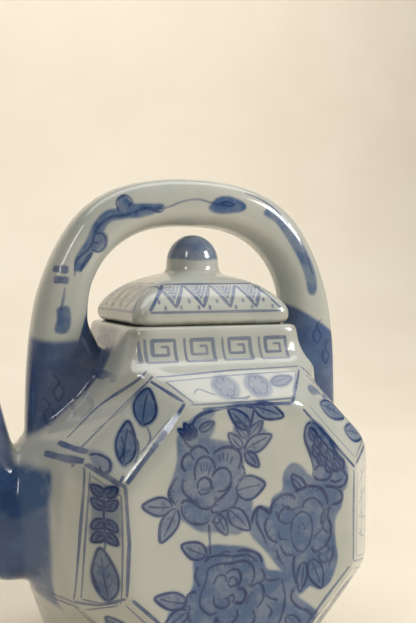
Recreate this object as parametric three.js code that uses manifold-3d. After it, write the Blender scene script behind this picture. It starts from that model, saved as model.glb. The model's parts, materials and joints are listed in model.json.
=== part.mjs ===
// An octagonal flask-shaped porcelain teapot with a fixed overhead handle.
// Millimetres, +Z up. X runs along the spout and handle (the spout points to -X),
// Y runs through the two painted octagonal panels. Each clay member is a closed
// solid of its own, with a luting joint (a thin gap) left between neighbours.
import * as THREE from 'three';
import { mergeVertices } from 'three/addons/utils/BufferGeometryUtils.js';
import Module from 'manifold-3d';

const wasm = await Module();
wasm.setup();

// ---- Place of the pot in the shared frame: the middle of its footprint is the origin ----
const BODY_AXIS_X = 23.45;
const BODY_CENTRE_Z = 76;

// ---- Walls, joints and smoothness ----
const LUTING_GAP = 0.3;
const BODY_WALL = 5;
const SPOUT_WALL = 4.2;
const CUT_MARGIN = 6;
const CORNER_STEPS = 3;
const SPOUT_SIDES = 32;
const HANDLE_SIDES = 24;
const HOLE_SIDES = 12;

// ---- Flask body: octagons across Y, measured from the body's centre ----
const PANEL_Y = 66.9;
const SHOULDER_Y = 51.5;
const PANEL = { width: 50, side: 20.4, top: 23.2, topZ: 49.2, base: 23.2, baseZ: 49.2, round: 2.5 };
const SHOULDER = { width: 65.4, side: 26.9, top: 33.4, topZ: 60.7, base: 33.4, baseZ: 60.7, round: 5 };
const MIDDLE = { width: 77.3, side: 30, top: 33, topZ: 68, base: 64.5, baseZ: 70, round: 8 };
const BULGE = 1.7;
const WALL_STATIONS = [0, 13, 26, 38, 47];
const OCTAGON_OFFSET = Math.tan(Math.PI / 8);

// ---- Neck: rounded squares up Z, flaring on to the shoulders ----
const NECK_MOUTH = 33.4;
const MOUTH_ROUND = 6;
const NECK_RIM_Z = 79.3;
const NECK_SECTIONS = [
  { z: 42, x: 58.5, y: 22, round: 14 },
  { z: 46, x: 56, y: 30, round: 16 },
  { z: 50, x: 53, y: 38, round: 17 },
  { z: 54.5, x: 49.4, y: 44.5, round: 17 },
  { z: 58.5, x: 46.2, y: 48.5, round: 15 },
  { z: 61.5, x: 44.4, y: 49.5, round: 13 },
  { z: 63.5, x: 43.4, y: 45.2, round: 11 },
  { z: 66.5, x: 42.2, y: 41.8, round: 10 },
  { z: 71, x: 40.5, y: 39.9, round: 9 },
  { z: 75.5, x: 39.5, y: 39.5, round: 8 },
  { z: 77.6, x: 39.3, y: 39.3, round: 8 },
  { z: 78.8, x: 38.6, y: 38.6, round: 7.5 },
  { z: NECK_RIM_Z, x: 37, y: 37, round: 7 },
];

// ---- Foot: a low rounded rectangle under the body ----
const FOOT_TOP_Z = -60;
const FOOT_ROUND = 13;
const FOOT_INNER_ROUND = 10;
const FOOT_OUTER = { x: 46, y: 33.5 };
const FOOT_SPLAY = 1.5;
const FOOT_WIDTH = 7;

// ---- Spout: upper and lower outline points [x, z] and the half depth along Y ----
const COLLAR_SECTIONS = [
  { upper: [-64, 35], lower: [-64, -32], depth: 33 },
  { upper: [-74, 33.4], lower: [-73, -31.6], depth: 32 },
  { upper: [-78.2, 29], lower: [-79, -31.2], depth: 28 },
  { upper: [-81.2, 25.2], lower: [-87.4, -31.2], depth: 23.8 },
];
const SPOUT_SECTIONS = [
  { upper: [-81.5, 25.6], lower: [-87.8, -31], depth: 23.6 },
  { upper: [-83, 29.5], lower: [-96.6, -25.6], depth: 21.6 },
  { upper: [-84.6, 35.5], lower: [-104, -12], depth: 19.4 },
  { upper: [-87.2, 46], lower: [-109.6, 9], depth: 16.6 },
  { upper: [-90.6, 56.6], lower: [-113.6, 31], depth: 13.8 },
  { upper: [-95.6, 67], lower: [-116.8, 52], depth: 11.4 },
  { upper: [-101.8, 76], lower: [-119.8, 68], depth: 9.8 },
  { upper: [-107.4, 82.4], lower: [-124.2, 77.2], depth: 9.2 },
];
const ROUND_SECTION = 2.1;
const BORE_OVERRUN = 0.5;
const STRAINER_HOLE = 2.3;
const STRAINER_GRID = { y: [5.5, 13.5], z: [-16, -7, 2, 11] };

// ---- Handle: outer and inner outline points [x, z] of one half, from the parting to the crown ----
const HANDLE_DEPTH = 12.4;
const SQUARE_SECTION = 2.7;
const HANDLE_STEPS_PER_SECTION = 2;
const HANDLE_OUTLINE = [
  { upper: [76, 60], lower: [49.2, 79.6] },
  { upper: [74.4, 75], lower: [49.2, 85] },
  { upper: [72, 89], lower: [48.6, 91.4] },
  { upper: [68, 102], lower: [46.8, 98.4] },
  { upper: [62, 115], lower: [42.2, 106.8] },
  { upper: [53.4, 127.8], lower: [35.6, 113.8] },
  { upper: [42.4, 136.8], lower: [27, 119.2] },
  { upper: [29.6, 142.2], lower: [18, 122.2] },
  { upper: [15.2, 145], lower: [9, 123.4] },
  { upper: [0, 145.8], lower: [0, 123.7] },
];
const ROOT_SECTIONS = [
  { upper: [76, 59.6], lower: [49.1, 79.2], depth: 12.4 },
  { upper: [76.4, 51], lower: [45.4, 72], depth: 12.6 },
  { upper: [76.6, 43], lower: [42.5, 64], depth: 12.9 },
  { upper: [76.6, 32], lower: [40, 52], depth: 13.2 },
  { upper: [72, 18], lower: [38, 38], depth: 13.4 },
];

// ---- Lid ----
const LID_SECTIONS = [
  { z: 79.6, x: 34.8, round: 7 },
  { z: 80.6, x: 35.9, round: 7 },
  { z: 83, x: 36.5, round: 7 },
  { z: 85.4, x: 36.3, round: 7 },
  { z: 87.3, x: 35.4, round: 7 },
  { z: 91.5, x: 32.2, round: 7 },
  { z: 95, x: 28, round: 7 },
  { z: 97.9, x: 23.6, round: 7.5 },
  { z: 100, x: 18.8, round: 9 },
  { z: 101.6, x: 13.6, round: 10 },
];
const LID_HOLLOW = [
  { z: 78, x: 28, round: 5 },
  { z: 82, x: 27.6, round: 5 },
  { z: 88, x: 25, round: 6 },
  { z: 94, x: 17, round: 8 },
  { z: 96, x: 11, round: 8 },
];
const FLANGE = { outer: 32.7, width: 4.4, bottomZ: 76.9, topZ: 79.3, round: 5.4, innerRound: 3.4 };
const KNOB_OFF_CENTRE = 1.8;
const KNOB_PROFILE = [
  [0, 101.9], [12.9, 101.9], [12.5, 103.4], [12.3, 107.4], [11.9, 110.3], [10.8, 113.3],
  [8.8, 116.2], [5.7, 118.6], [3, 119.7], [0, 120.1],
];
const KNOB_SIDES = 32;

// ---- Glazes ----
const finish = (color, roughness) => new THREE.MeshStandardMaterial({ color, roughness, metalness: 0 });
const CLEAR_GLAZE = () => finish(0xc9c9bb, 0.16);
const BLUE_WASH = () => finish(0x50699f, 0.16);
const DARK_BLUE = () => finish(0x2b3f78, 0.18);
const PALE_BLUE = () => finish(0x8d9db4, 0.16);
const BARE_BISCUIT = () => finish(0xb9ab93, 0.75);

// ---- Solid tools ----
// A closed body through rings of equal length, with flat fans over the first and last ring.
function loft(rings) {
  const sides = rings[0].length;
  const positions = rings.flat().flatMap((p) => [p.x, p.y, p.z]);
  const triangles = [];
  for (let r = 0; r + 1 < rings.length; r += 1) {
    for (let i = 0; i < sides; i += 1) {
      const next = (i + 1) % sides;
      const [a, b] = [r * sides + i, r * sides + next];
      const [c, d] = [a + sides, b + sides];
      triangles.push(a, b, d, a, d, c);
    }
  }
  for (const last of [false, true]) {
    const ring = last ? rings[rings.length - 1] : rings[0];
    const start = last ? (rings.length - 1) * sides : 0;
    const hub = positions.length / 3;
    const middle = ring.reduce((sum, p) => sum.add(p), new THREE.Vector3()).divideScalar(sides);
    positions.push(middle.x, middle.y, middle.z);
    for (let i = 0; i < sides; i += 1) {
      const [a, b] = [start + i, start + ((i + 1) % sides)];
      triangles.push(...(last ? [a, b, hub] : [b, a, hub]));
    }
  }
  const geometry = new THREE.BufferGeometry();
  geometry.setAttribute('position', new THREE.Float32BufferAttribute(positions, 3));
  geometry.setIndex(signedVolume(positions, triangles) < 0 ? triangles.reverse() : triangles);
  return solid(geometry);
}

function signedVolume(positions, triangles) {
  const corner = (i) => new THREE.Vector3().fromArray(positions, 3 * i);
  let sum = 0;
  for (let t = 0; t < triangles.length; t += 3) {
    sum += corner(triangles[t]).dot(corner(triangles[t + 1]).cross(corner(triangles[t + 2])));
  }
  return sum;
}

function solid(geometry) {
  const bare = geometry.clone();
  bare.deleteAttribute('normal');
  bare.deleteAttribute('uv');
  const merged = mergeVertices(bare, 1e-5);
  const mesh = new wasm.Mesh({
    numProp: 3,
    vertProperties: new Float32Array(merged.attributes.position.array),
    triVerts: new Uint32Array(merged.index.array),
  });
  mesh.merge();
  return new wasm.Manifold(mesh);
}

function geometryOf(manifold) {
  const mesh = manifold.getMesh();
  const geometry = new THREE.BufferGeometry();
  geometry.setAttribute('position', new THREE.Float32BufferAttribute(mesh.vertProperties, 3));
  geometry.setIndex(Array.from(mesh.triVerts));
  geometry.translate(BODY_AXIS_X, 0, BODY_CENTRE_Z);
  geometry.computeVertexNormals();
  return geometry;
}

// The polygon with each corner swept by a short curve that starts `round` away from it.
function roundCorners(corners, round) {
  const points = [];
  corners.forEach((corner, i) => {
    const before = corners[(i + corners.length - 1) % corners.length];
    const after = corners[(i + 1) % corners.length];
    const start = corner.clone().add(before.clone().sub(corner).setLength(round));
    const end = corner.clone().add(after.clone().sub(corner).setLength(round));
    const curve = new THREE.QuadraticBezierCurve3(start, corner, end);
    points.push(...curve.getPoints(CORNER_STEPS));
  });
  return points;
}

const mix = THREE.MathUtils.lerp;

function mixed(a, b, share) {
  return Object.fromEntries(Object.keys(a).map((key) => [key, mix(a[key], b[key], share)]));
}

// ---- Flask body ----
function octagonAt(y) {
  const depth = Math.abs(y);
  if (depth <= SHOULDER_Y) return mixed(MIDDLE, SHOULDER, (depth / SHOULDER_Y) ** BULGE);
  return mixed(SHOULDER, PANEL, (depth - SHOULDER_Y) / (PANEL_Y - SHOULDER_Y));
}

function octagonRing(shape, y, inset) {
  const pinch = inset * OCTAGON_OFFSET;
  const rightSide = [
    [shape.base - pinch, inset - shape.baseZ],
    [shape.width - inset, pinch - shape.side],
    [shape.width - inset, shape.side - pinch],
    [shape.top - pinch, shape.topZ - inset],
  ];
  const outline = [...rightSide, ...rightSide.toReversed().map(([x, z]) => [-x, z])];
  return roundCorners(outline.map(([x, z]) => new THREE.Vector3(x, y, z)), shape.round);
}

// The flask between seamY and its panel on the side of `sign`, set in by `inset`.
function flaskSide(sign, seamY, inset) {
  const stations = [seamY, ...WALL_STATIONS.filter((y) => y > seamY), SHOULDER_Y, PANEL_Y];
  return loft(stations.map((y) => {
    const shape = octagonAt(y);
    const pushed = y === PANEL_Y ? y - inset : y - inset * OCTAGON_OFFSET * (y === SHOULDER_Y);
    return octagonRing(shape, sign * pushed, inset);
  }));
}

function wholeFlask(inset) {
  return flaskSide(1, -1, inset).add(flaskSide(-1, -1, inset));
}

function squareRing(section, inset = 0) {
  const x = section.x - inset;
  const y = (section.y ?? section.x) - inset;
  const corners = [[x, y], [-x, y], [-x, -y], [x, -y]];
  return roundCorners(corners.map(([px, py]) => new THREE.Vector3(px, py, section.z)), section.round);
}

function mouthPrism(fromZ, toZ) {
  const section = { x: NECK_MOUTH, round: MOUTH_ROUND };
  return loft([squareRing({ ...section, z: fromZ }), squareRing({ ...section, z: toZ })]);
}

function strainerHoles(sign) {
  const drill = new THREE.CylinderGeometry(STRAINER_HOLE, STRAINER_HOLE, 3 * BODY_WALL, HOLE_SIDES);
  drill.rotateZ(Math.PI / 2);
  const holes = STRAINER_GRID.y.flatMap((y) => STRAINER_GRID.z.map((z) => {
    const wallX = octagonAt(y).width - BODY_WALL / 2;
    return solid(drill.clone().translate(-wallX, sign * y, z));
  }));
  return holes.reduce((all, hole) => all.add(hole));
}

function bodyHalf(sign) {
  const shell = flaskSide(sign, LUTING_GAP / 2, 0).subtract(flaskSide(sign, -CUT_MARGIN, BODY_WALL));
  return shell
    .subtract(mouthPrism(NECK_SECTIONS[0].z, NECK_RIM_Z))
    .subtract(strainerHoles(sign));
}

// ---- Neck and foot ----
function neckOuter(inset) {
  return loft(NECK_SECTIONS.map((section) => squareRing(section, inset)));
}

function neckCollar() {
  return neckOuter(0)
    .subtract(mouthPrism(NECK_SECTIONS[0].z - CUT_MARGIN, NECK_RIM_Z + CUT_MARGIN))
    .subtract(wholeFlask(-LUTING_GAP));
}

function footRing() {
  const bottom = { ...FOOT_OUTER, z: -BODY_CENTRE_Z, round: FOOT_ROUND };
  const top = { x: FOOT_OUTER.x + FOOT_SPLAY, y: FOOT_OUTER.y + FOOT_SPLAY, z: FOOT_TOP_Z, round: FOOT_ROUND };
  const well = [
    { ...bottom, z: bottom.z - CUT_MARGIN, round: FOOT_INNER_ROUND },
    { ...bottom, z: top.z + CUT_MARGIN, round: FOOT_INNER_ROUND },
  ];
  return loft([squareRing(bottom), squareRing(top)])
    .subtract(loft(well.map((section) => squareRing(section, FOOT_WIDTH))))
    .subtract(wholeFlask(-LUTING_GAP));
}

// ---- Bent members: rings between an upper and a lower outline point ----
function bandRing(section, sides, power, inset = 0) {
  const upper = new THREE.Vector3(section.upper[0], 0, section.upper[1]);
  const lower = new THREE.Vector3(section.lower[0], 0, section.lower[1]);
  const centre = upper.clone().add(lower).multiplyScalar(0.5);
  const reach = upper.clone().sub(centre);
  const half = reach.length() - inset;
  reach.setLength(half);
  const bend = (value) => Math.sign(value) * Math.abs(value) ** (2 / power);
  return Array.from({ length: sides }, (_, i) => {
    const angle = (2 * Math.PI * i) / sides;
    const along = reach.clone().multiplyScalar(bend(Math.cos(angle)));
    return centre.clone().add(along).setY(bend(Math.sin(angle)) * (section.depth - inset));
  });
}

function stretched(sections, reach) {
  const [first, second] = sections;
  const [last, beforeLast] = [sections.at(-1), sections.at(-2)];
  const beyond = (end, next) => ({
    upper: end.upper.map((v, k) => v + (v - next.upper[k]) * reach),
    lower: end.lower.map((v, k) => v + (v - next.lower[k]) * reach),
    depth: end.depth,
  });
  return [beyond(first, second), ...sections, beyond(last, beforeLast)];
}

function spoutPipe(sections) {
  const ring = (section, inset) => bandRing(section, SPOUT_SIDES, ROUND_SECTION, inset);
  const skin = loft(sections.map((section) => ring(section, 0)));
  const bore = loft(stretched(sections, BORE_OVERRUN).map((section) => ring(section, SPOUT_WALL)));
  return skin.subtract(bore);
}

function spoutCollar() {
  return spoutPipe(COLLAR_SECTIONS)
    .subtract(wholeFlask(-LUTING_GAP))
    .subtract(rootBlock(-1, -LUTING_GAP));
}

// The handle's half outline carried over to the other leg, with smooth steps between its points.
function handleArch() {
  const mirrored = HANDLE_OUTLINE.slice(0, -1).toReversed();
  const run = (key) => new THREE.CatmullRomCurve3([
    ...HANDLE_OUTLINE.map((s) => new THREE.Vector3(s[key][0], 0, s[key][1])),
    ...mirrored.map((s) => new THREE.Vector3(-s[key][0], 0, s[key][1])),
  ]);
  const steps = HANDLE_STEPS_PER_SECTION * (2 * HANDLE_OUTLINE.length - 2);
  const [upper, lower] = [run('upper'), run('lower')];
  return loft(Array.from({ length: steps + 1 }, (_, i) => {
    const [a, b] = [upper.getPoint(i / steps), lower.getPoint(i / steps)];
    const section = { upper: [a.x, a.z], lower: [b.x, b.z], depth: HANDLE_DEPTH };
    return bandRing(section, HANDLE_SIDES, SQUARE_SECTION);
  }));
}

function rootBlock(sign, inset) {
  const flipped = ROOT_SECTIONS.map((s) => ({
    upper: [sign * s.upper[0], s.upper[1]],
    lower: [sign * s.lower[0], s.lower[1]],
    depth: s.depth,
  }));
  return loft(flipped.map((section) => bandRing(section, HANDLE_SIDES, SQUARE_SECTION, inset)));
}

function handleRoot(sign) {
  return rootBlock(sign, 0)
    .subtract(neckOuter(-LUTING_GAP))
    .subtract(wholeFlask(-LUTING_GAP));
}

// ---- Lid ----
function lidCover() {
  return loft(LID_SECTIONS.map((section) => squareRing(section)))
    .subtract(loft(LID_HOLLOW.map((section) => squareRing(section))));
}

function lidFlange() {
  const wall = { x: FLANGE.outer, round: FLANGE.round };
  const inside = { x: FLANGE.outer - FLANGE.width, round: FLANGE.innerRound };
  return loft([squareRing({ ...wall, z: FLANGE.bottomZ }), squareRing({ ...wall, z: FLANGE.topZ })])
    .subtract(loft([
      squareRing({ ...inside, z: FLANGE.bottomZ - CUT_MARGIN }),
      squareRing({ ...inside, z: FLANGE.topZ + CUT_MARGIN }),
    ]));
}

function lidKnob() {
  const profile = KNOB_PROFILE.map(([r, z]) => new THREE.Vector2(r, z));
  const geometry = new THREE.LatheGeometry(profile, KNOB_SIDES);
  geometry.rotateX(Math.PI / 2);
  geometry.translate(KNOB_OFF_CENTRE, 0, 0);
  return solid(geometry);
}

// ---- Assembly ----
const group = new THREE.Group();
group.name = 'octagonal_flask_teapot';

function addMember(name, manifold, material) {
  const mesh = new THREE.Mesh(geometryOf(manifold), material);
  mesh.name = name;
  group.add(mesh);
}

addMember('body_front_half', bodyHalf(-1), CLEAR_GLAZE());
addMember('body_back_half', bodyHalf(1), CLEAR_GLAZE());
addMember('foot_ring', footRing(), BARE_BISCUIT());
addMember('neck_collar', neckCollar(), CLEAR_GLAZE());
addMember('spout_collar', spoutCollar(), PALE_BLUE());
addMember('spout', spoutPipe(SPOUT_SECTIONS), BLUE_WASH());
addMember('handle_arch', handleArch(), CLEAR_GLAZE());
addMember('handle_root_left', handleRoot(-1), DARK_BLUE());
addMember('handle_root_right', handleRoot(1), DARK_BLUE());
addMember('lid_cover', lidCover(), CLEAR_GLAZE());
addMember('lid_flange', lidFlange(), CLEAR_GLAZE());
addMember('lid_knob', lidKnob(), PALE_BLUE());

export default group;
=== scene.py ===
"""An octagonal flask-shaped porcelain teapot, painted in cobalt blue under a clear glaze.

The clay members of the pot are one fused, fired and glazed surface here, and so are those of the lid.
Shapes and brushwork are written in millimetres from the middle of the flask body, +X away from the
spout, -Y towards the front panel and +Z up. to_row() carries them into the frame, in metres.
"""

import json
import math

import bmesh
import bpy
import numpy as np
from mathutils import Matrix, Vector
from mathutils.bvhtree import BVHTree


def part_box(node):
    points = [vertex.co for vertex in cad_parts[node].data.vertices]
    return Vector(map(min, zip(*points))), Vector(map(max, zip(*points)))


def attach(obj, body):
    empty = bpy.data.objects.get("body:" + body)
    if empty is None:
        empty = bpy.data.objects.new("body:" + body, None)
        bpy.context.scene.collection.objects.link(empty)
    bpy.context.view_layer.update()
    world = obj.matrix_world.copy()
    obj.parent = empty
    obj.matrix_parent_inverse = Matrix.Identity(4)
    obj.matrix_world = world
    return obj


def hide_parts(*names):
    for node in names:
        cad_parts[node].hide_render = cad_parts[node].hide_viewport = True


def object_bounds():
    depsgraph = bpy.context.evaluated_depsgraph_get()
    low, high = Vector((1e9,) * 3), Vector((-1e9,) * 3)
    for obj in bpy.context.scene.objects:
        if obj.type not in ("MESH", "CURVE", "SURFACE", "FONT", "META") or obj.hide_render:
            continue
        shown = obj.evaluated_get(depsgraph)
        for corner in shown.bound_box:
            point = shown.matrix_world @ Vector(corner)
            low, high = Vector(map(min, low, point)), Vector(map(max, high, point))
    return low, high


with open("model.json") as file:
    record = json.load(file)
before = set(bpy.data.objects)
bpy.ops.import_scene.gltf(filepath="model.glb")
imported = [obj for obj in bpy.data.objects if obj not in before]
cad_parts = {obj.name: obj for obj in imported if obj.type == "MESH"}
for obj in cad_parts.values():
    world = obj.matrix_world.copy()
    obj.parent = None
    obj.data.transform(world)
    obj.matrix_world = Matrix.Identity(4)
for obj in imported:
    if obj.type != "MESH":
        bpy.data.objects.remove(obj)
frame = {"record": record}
cad_low, cad_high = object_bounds()

MM = 0.001
FOOT_BOTTOM_Z = -76.0

# ---- Flask body: octagons across Y ----
PANEL_Y = 66.9
SHOULDER_Y = 51.5
PANEL = dict(width=50, side=20.4, top=23.2, top_z=49.2, base=23.2, base_z=49.2, round=2.5)
SHOULDER = dict(width=65.4, side=26.9, top=33.4, top_z=60.7, base=33.4, base_z=60.7, round=5)
MIDDLE = dict(width=77.3, side=30, top=33, top_z=68, base=64.5, base_z=70, round=8)
BULGE = 1.7
BODY_WALL = 5
BODY_STATIONS = 32
OCTAGON_OFFSET = math.tan(math.pi / 8)
CORNER_STEPS = 6

# ---- Neck: half widths in X and Y and corner length up Z ----
NECK_SECTIONS = [
    (42, 58.5, 22, 14), (46, 56, 30, 16), (50, 53, 38, 17), (54.5, 49.4, 44.5, 17), (58.5, 46.2, 48.5, 15),
    (61.5, 44.4, 49.5, 13), (63.5, 43.4, 45.2, 11), (66.5, 42.2, 41.8, 10), (71, 40.5, 39.9, 9),
    (75.5, 39.5, 39.5, 8), (77.6, 39.3, 39.3, 8), (78.8, 38.6, 38.6, 7.5), (79.3, 37, 37, 7),
]
NECK_RIM_Z = 79.3
MOUTH = (33.4, 33.4, 6)

# ---- Foot ----
FOOT_SECTIONS = [(FOOT_BOTTOM_Z, 46, 33.5, 13), (-60, 47.5, 35, 13)]
FOOT_WELL = [(FOOT_BOTTOM_Z - 6, 39, 26.5, 10), (-67, 39, 26.5, 10)]
BARE_EDGE_Z = -74.4

# ---- Bent members: upper and lower outline point [x, z] and half depth along Y ----
COLLAR_SECTIONS = [
    ((-64, 35), (-64, -32), 33), ((-74, 33.4), (-73, -31.6), 32), ((-78.2, 29), (-79, -31.2), 28),
    ((-81.2, 25.2), (-87.4, -31.2), 23.8),
]
SPOUT_SECTIONS = [
    ((-81.5, 25.6), (-87.8, -31), 23.6), ((-83, 29.5), (-96.6, -25.6), 21.6),
    ((-84.6, 35.5), (-104, -12), 19.4), ((-87.2, 46), (-109.6, 9), 16.6),
    ((-90.6, 56.6), (-113.6, 31), 13.8),
    ((-95.6, 67), (-116.8, 52), 11.4), ((-101.8, 76), (-119.8, 68), 9.8),
    ((-107.4, 82.4), (-124.2, 77.2), 9.2),
]
SPOUT_WALL = 4.2
ROUND_SECTION = 2.1
STRAINER_HOLE = 2.3
STRAINER_Y = (-13.5, -5.5, 5.5, 13.5)
STRAINER_Z = (-16, -7, 2, 11)
HANDLE_DEPTH = 12.4
SQUARE_SECTION = 2.7
HANDLE_HALF = [
    ((76, 60), (49.2, 79.6)), ((74.4, 75), (49.2, 85)), ((72, 89), (48.6, 91.4)), ((68, 102), (46.8, 98.4)),
    ((62, 115), (42.2, 106.8)), ((53.4, 127.8), (35.6, 113.8)), ((42.4, 136.8), (27, 119.2)),
    ((29.6, 142.2), (18, 122.2)), ((15.2, 145), (9, 123.4)), ((0, 145.8), (0, 123.7)),
]
ROOT_SECTIONS = [
    ((76, 59.6), (49.1, 79.2), 12.4), ((76.4, 51), (45.4, 72), 12.6), ((76.6, 43), (42.5, 64), 12.9),
    ((76.6, 32), (40, 52), 13.2), ((72, 18), (38, 38), 13.4),
]

# ---- Lid: half width and corner length up Z ----
LID_SECTIONS = [
    (79.6, 34.8, 7), (80.6, 35.9, 7), (83, 36.5, 7), (85.4, 36.3, 7), (87.3, 35.4, 7), (91.5, 32.2, 7),
    (95, 28, 7), (97.9, 23.6, 7.5), (100, 18.8, 9), (101.6, 13.6, 10), (102.3, 9, 8),
]
LID_HOLLOW = [(76, 28, 5), (82, 27.6, 5), (88, 25, 6), (94, 17, 8), (96, 11, 8)]
FLANGE_SECTIONS = [(76.9, 32.7, 5.4), (81, 32.7, 5.4)]
KNOB_X = 1.8
KNOB_PROFILE = [
    (17.5, 100.2), (14.2, 101.6), (12.9, 102.8), (12.4, 105), (12.3, 107.4), (11.9, 110.3), (10.8, 113.3),
    (8.8, 116.2), (5.7, 118.6), (3, 119.7), (0.2, 120.1),
]

# ---- Surface making ----
POT_VOXEL = 1.2
LID_VOXEL = 0.8
WASH_REFINEMENTS = 1
WASH_EDGE_STEP = 0.12
FIELDS = ("wash", "dark", "stain")
STROKE_STEP = 0.9
STROKE_LIFT = 0.045
STROKE_RIM = -0.02
STROKE_CORE = 0.66
STROKE_GROWTH = 1.9

# ---- Pigments: the share of red, green and blue light that each lets through ----
WASH_PIGMENT = (0.13, 0.235, 0.53, 1)
WASH_GAIN = 1.35
INK_PIGMENT = (0.035, 0.1, 0.38, 1)
INK_PIGMENT_THIN = (0.07, 0.16, 0.46, 1)

# ---- Camera: where the photographer stood, and which way the lens looked ----
CAMERA_PLACE = (-128.8, -344.3, 98.1)
CAMERA_YAW = math.radians(-21.93)
CAMERA_PITCH = math.radians(-2.22)
CAMERA_LENS = 44.95
CAMERA_SENSOR = 36
CAMERA_NEAR = 0.01

# ---- Paper sweep, in metres: a floor that bends up into a wall ----
SWEEP_HALF_WIDTH = 2.2
SWEEP_FRONT_Y = -1.6
SWEEP_BEND_Y = 0.5
SWEEP_BEND = 0.5
SWEEP_BEND_STEPS = 12
SWEEP_TOP_Z = 2.2

rng = np.random.default_rng(7)
lid_low, lid_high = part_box("lid_cover")
POT_AXIS_X = (lid_low.x + lid_high.x) / 2 / MM
POT_ORIGIN = np.array([POT_AXIS_X, 0.0, -FOOT_BOTTOM_Z])


def to_row(points):
    """Pot millimetres to frame metres."""
    return (np.asarray(points, float) + POT_ORIGIN) * MM


def to_pot(points):
    """Frame metres to pot millimetres."""
    return np.asarray(points, float) / MM - POT_ORIGIN


def smoothstep(low, high, values):
    share = np.clip((np.asarray(values, float) - low) / (high - low), 0, 1)
    return share * share * (3 - 2 * share)


def spline(points, count):
    """Evenly spread points on a Catmull-Rom curve through the given ones."""
    points = np.asarray(points, float)
    first, last = 2 * points[0] - points[1], 2 * points[-1] - points[-2]
    knots = np.vstack([first, points, last])
    spans = len(points) - 1
    t = np.linspace(0, spans, max(count, 2))
    k = np.minimum(t.astype(int), spans - 1)
    u = (t - k)[:, None]
    a, b, c, d = knots[k], knots[k + 1], knots[k + 2], knots[k + 3]
    return 0.5 * (2 * b + (c - a) * u + (2 * a - 5 * b + 4 * c - d) * u**2 + (3 * b - a - 3 * c + d) * u**3)


# ======================= Solids =======================
def rounded(corners, reach):
    """The closed polygon with each corner replaced by a quadratic curve that starts `reach` away."""
    ring = []
    corners = np.asarray(corners, float)
    for i, corner in enumerate(corners):
        before, after = corners[i - 1] - corner, corners[(i + 1) % len(corners)] - corner
        start = corner + before / np.linalg.norm(before) * reach
        end = corner + after / np.linalg.norm(after) * reach
        for u in np.linspace(0, 1, CORNER_STEPS):
            ring.append((1 - u) ** 2 * start + 2 * u * (1 - u) * corner + u * u * end)
    return np.array(ring)


def octagon_at(y):
    depth = abs(y)
    if depth <= SHOULDER_Y:
        share, (a, b) = (depth / SHOULDER_Y) ** BULGE, (MIDDLE, SHOULDER)
    else:
        share, (a, b) = (depth - SHOULDER_Y) / (PANEL_Y - SHOULDER_Y), (SHOULDER, PANEL)
    return {key: a[key] + (b[key] - a[key]) * share for key in a}


def octagon_ring(y, inset=0.0):
    shape, pinch = octagon_at(y), inset * OCTAGON_OFFSET
    right = [
        (shape["base"] - pinch, inset - shape["base_z"]), (shape["width"] - inset, pinch - shape["side"]),
        (shape["width"] - inset, shape["side"] - pinch), (shape["top"] - pinch, shape["top_z"] - inset),
    ]
    outline = right + [(-x, z) for x, z in reversed(right)]
    pushed = np.clip(y, inset - PANEL_Y, PANEL_Y - inset)
    return rounded([(x, pushed, z) for x, z in outline], shape["round"])


def square_ring(z, half_x, half_y, reach):
    signs = ((1, 1), (-1, 1), (-1, -1), (1, -1))
    return rounded([(half_x * sx, half_y * sy, z) for sx, sy in signs], reach)


def band_ring(upper, lower, depth, power, sides=48, inset=0.0):
    """A superellipse across the line from the lower to the upper outline point."""
    upper, lower = np.array([upper[0], 0, upper[1]]), np.array([lower[0], 0, lower[1]])
    centre, reach = (upper + lower) / 2, (upper - lower) / 2
    reach = reach * (1 - inset / np.linalg.norm(reach))
    angle = np.linspace(0, 2 * math.pi, sides, endpoint=False)
    along = np.sign(np.cos(angle)) * np.abs(np.cos(angle)) ** (2 / power)
    across = np.sign(np.sin(angle)) * np.abs(np.sin(angle)) ** (2 / power) * (depth - inset)
    return centre + along[:, None] * reach + across[:, None] * np.array([0, 1, 0])


def loft(rings):
    """Vertices and faces of a closed body through rings of equal length."""
    sides = len(rings[0])
    faces = [
        (r * sides + i, r * sides + (i + 1) % sides, (r + 1) * sides + (i + 1) % sides, (r + 1) * sides + i)
        for r in range(len(rings) - 1)
        for i in range(sides)
    ]
    faces.append(tuple(reversed(range(sides))))
    faces.append(tuple((len(rings) - 1) * sides + i for i in range(sides)))
    return np.vstack(rings), faces


def mesh_object(name, parts):
    """One object from several (vertices, faces) bodies, each with its faces pointing out."""
    vertices, faces, start = [], [], 0
    for points, polygons in parts:
        if signed_volume(points, polygons) < 0:
            polygons = [tuple(reversed(p)) for p in polygons]
        vertices.append(to_row(points))
        faces += [tuple(i + start for i in p) for p in polygons]
        start += len(points)
    mesh = bpy.data.meshes.new(name)
    mesh.from_pydata(np.vstack(vertices).tolist(), [], faces)
    piece = bpy.data.objects.new(name, mesh)
    bpy.context.scene.collection.objects.link(piece)
    return piece


def signed_volume(points, faces):
    total = 0.0
    for face in faces:
        for k in range(1, len(face) - 1):
            total += np.dot(points[face[0]], np.cross(points[face[k]], points[face[k + 1]]))
    return total


def settled(piece):
    """Applies the modifiers of a piece, so that its mesh is the final one."""
    graph = bpy.context.evaluated_depsgraph_get()
    fresh = bpy.data.meshes.new_from_object(piece.evaluated_get(graph))
    piece.modifiers.clear()
    piece.data = fresh
    return piece


def fused(piece, voxel):
    step = piece.modifiers.new("fuse", "REMESH")
    step.mode, step.voxel_size, step.adaptivity = "VOXEL", voxel * MM, 0
    return settled(piece)


def cut(piece, tool):
    step = piece.modifiers.new("cut", "BOOLEAN")
    step.operation, step.object, step.solver = "DIFFERENCE", tool, "MANIFOLD"
    settled(piece)
    bpy.data.objects.remove(tool)
    return piece


def coordinates(mesh):
    flat = np.empty(len(mesh.vertices) * 3, np.float32)
    mesh.vertices.foreach_get("co", flat)
    return flat.reshape(-1, 3).astype(float)


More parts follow.
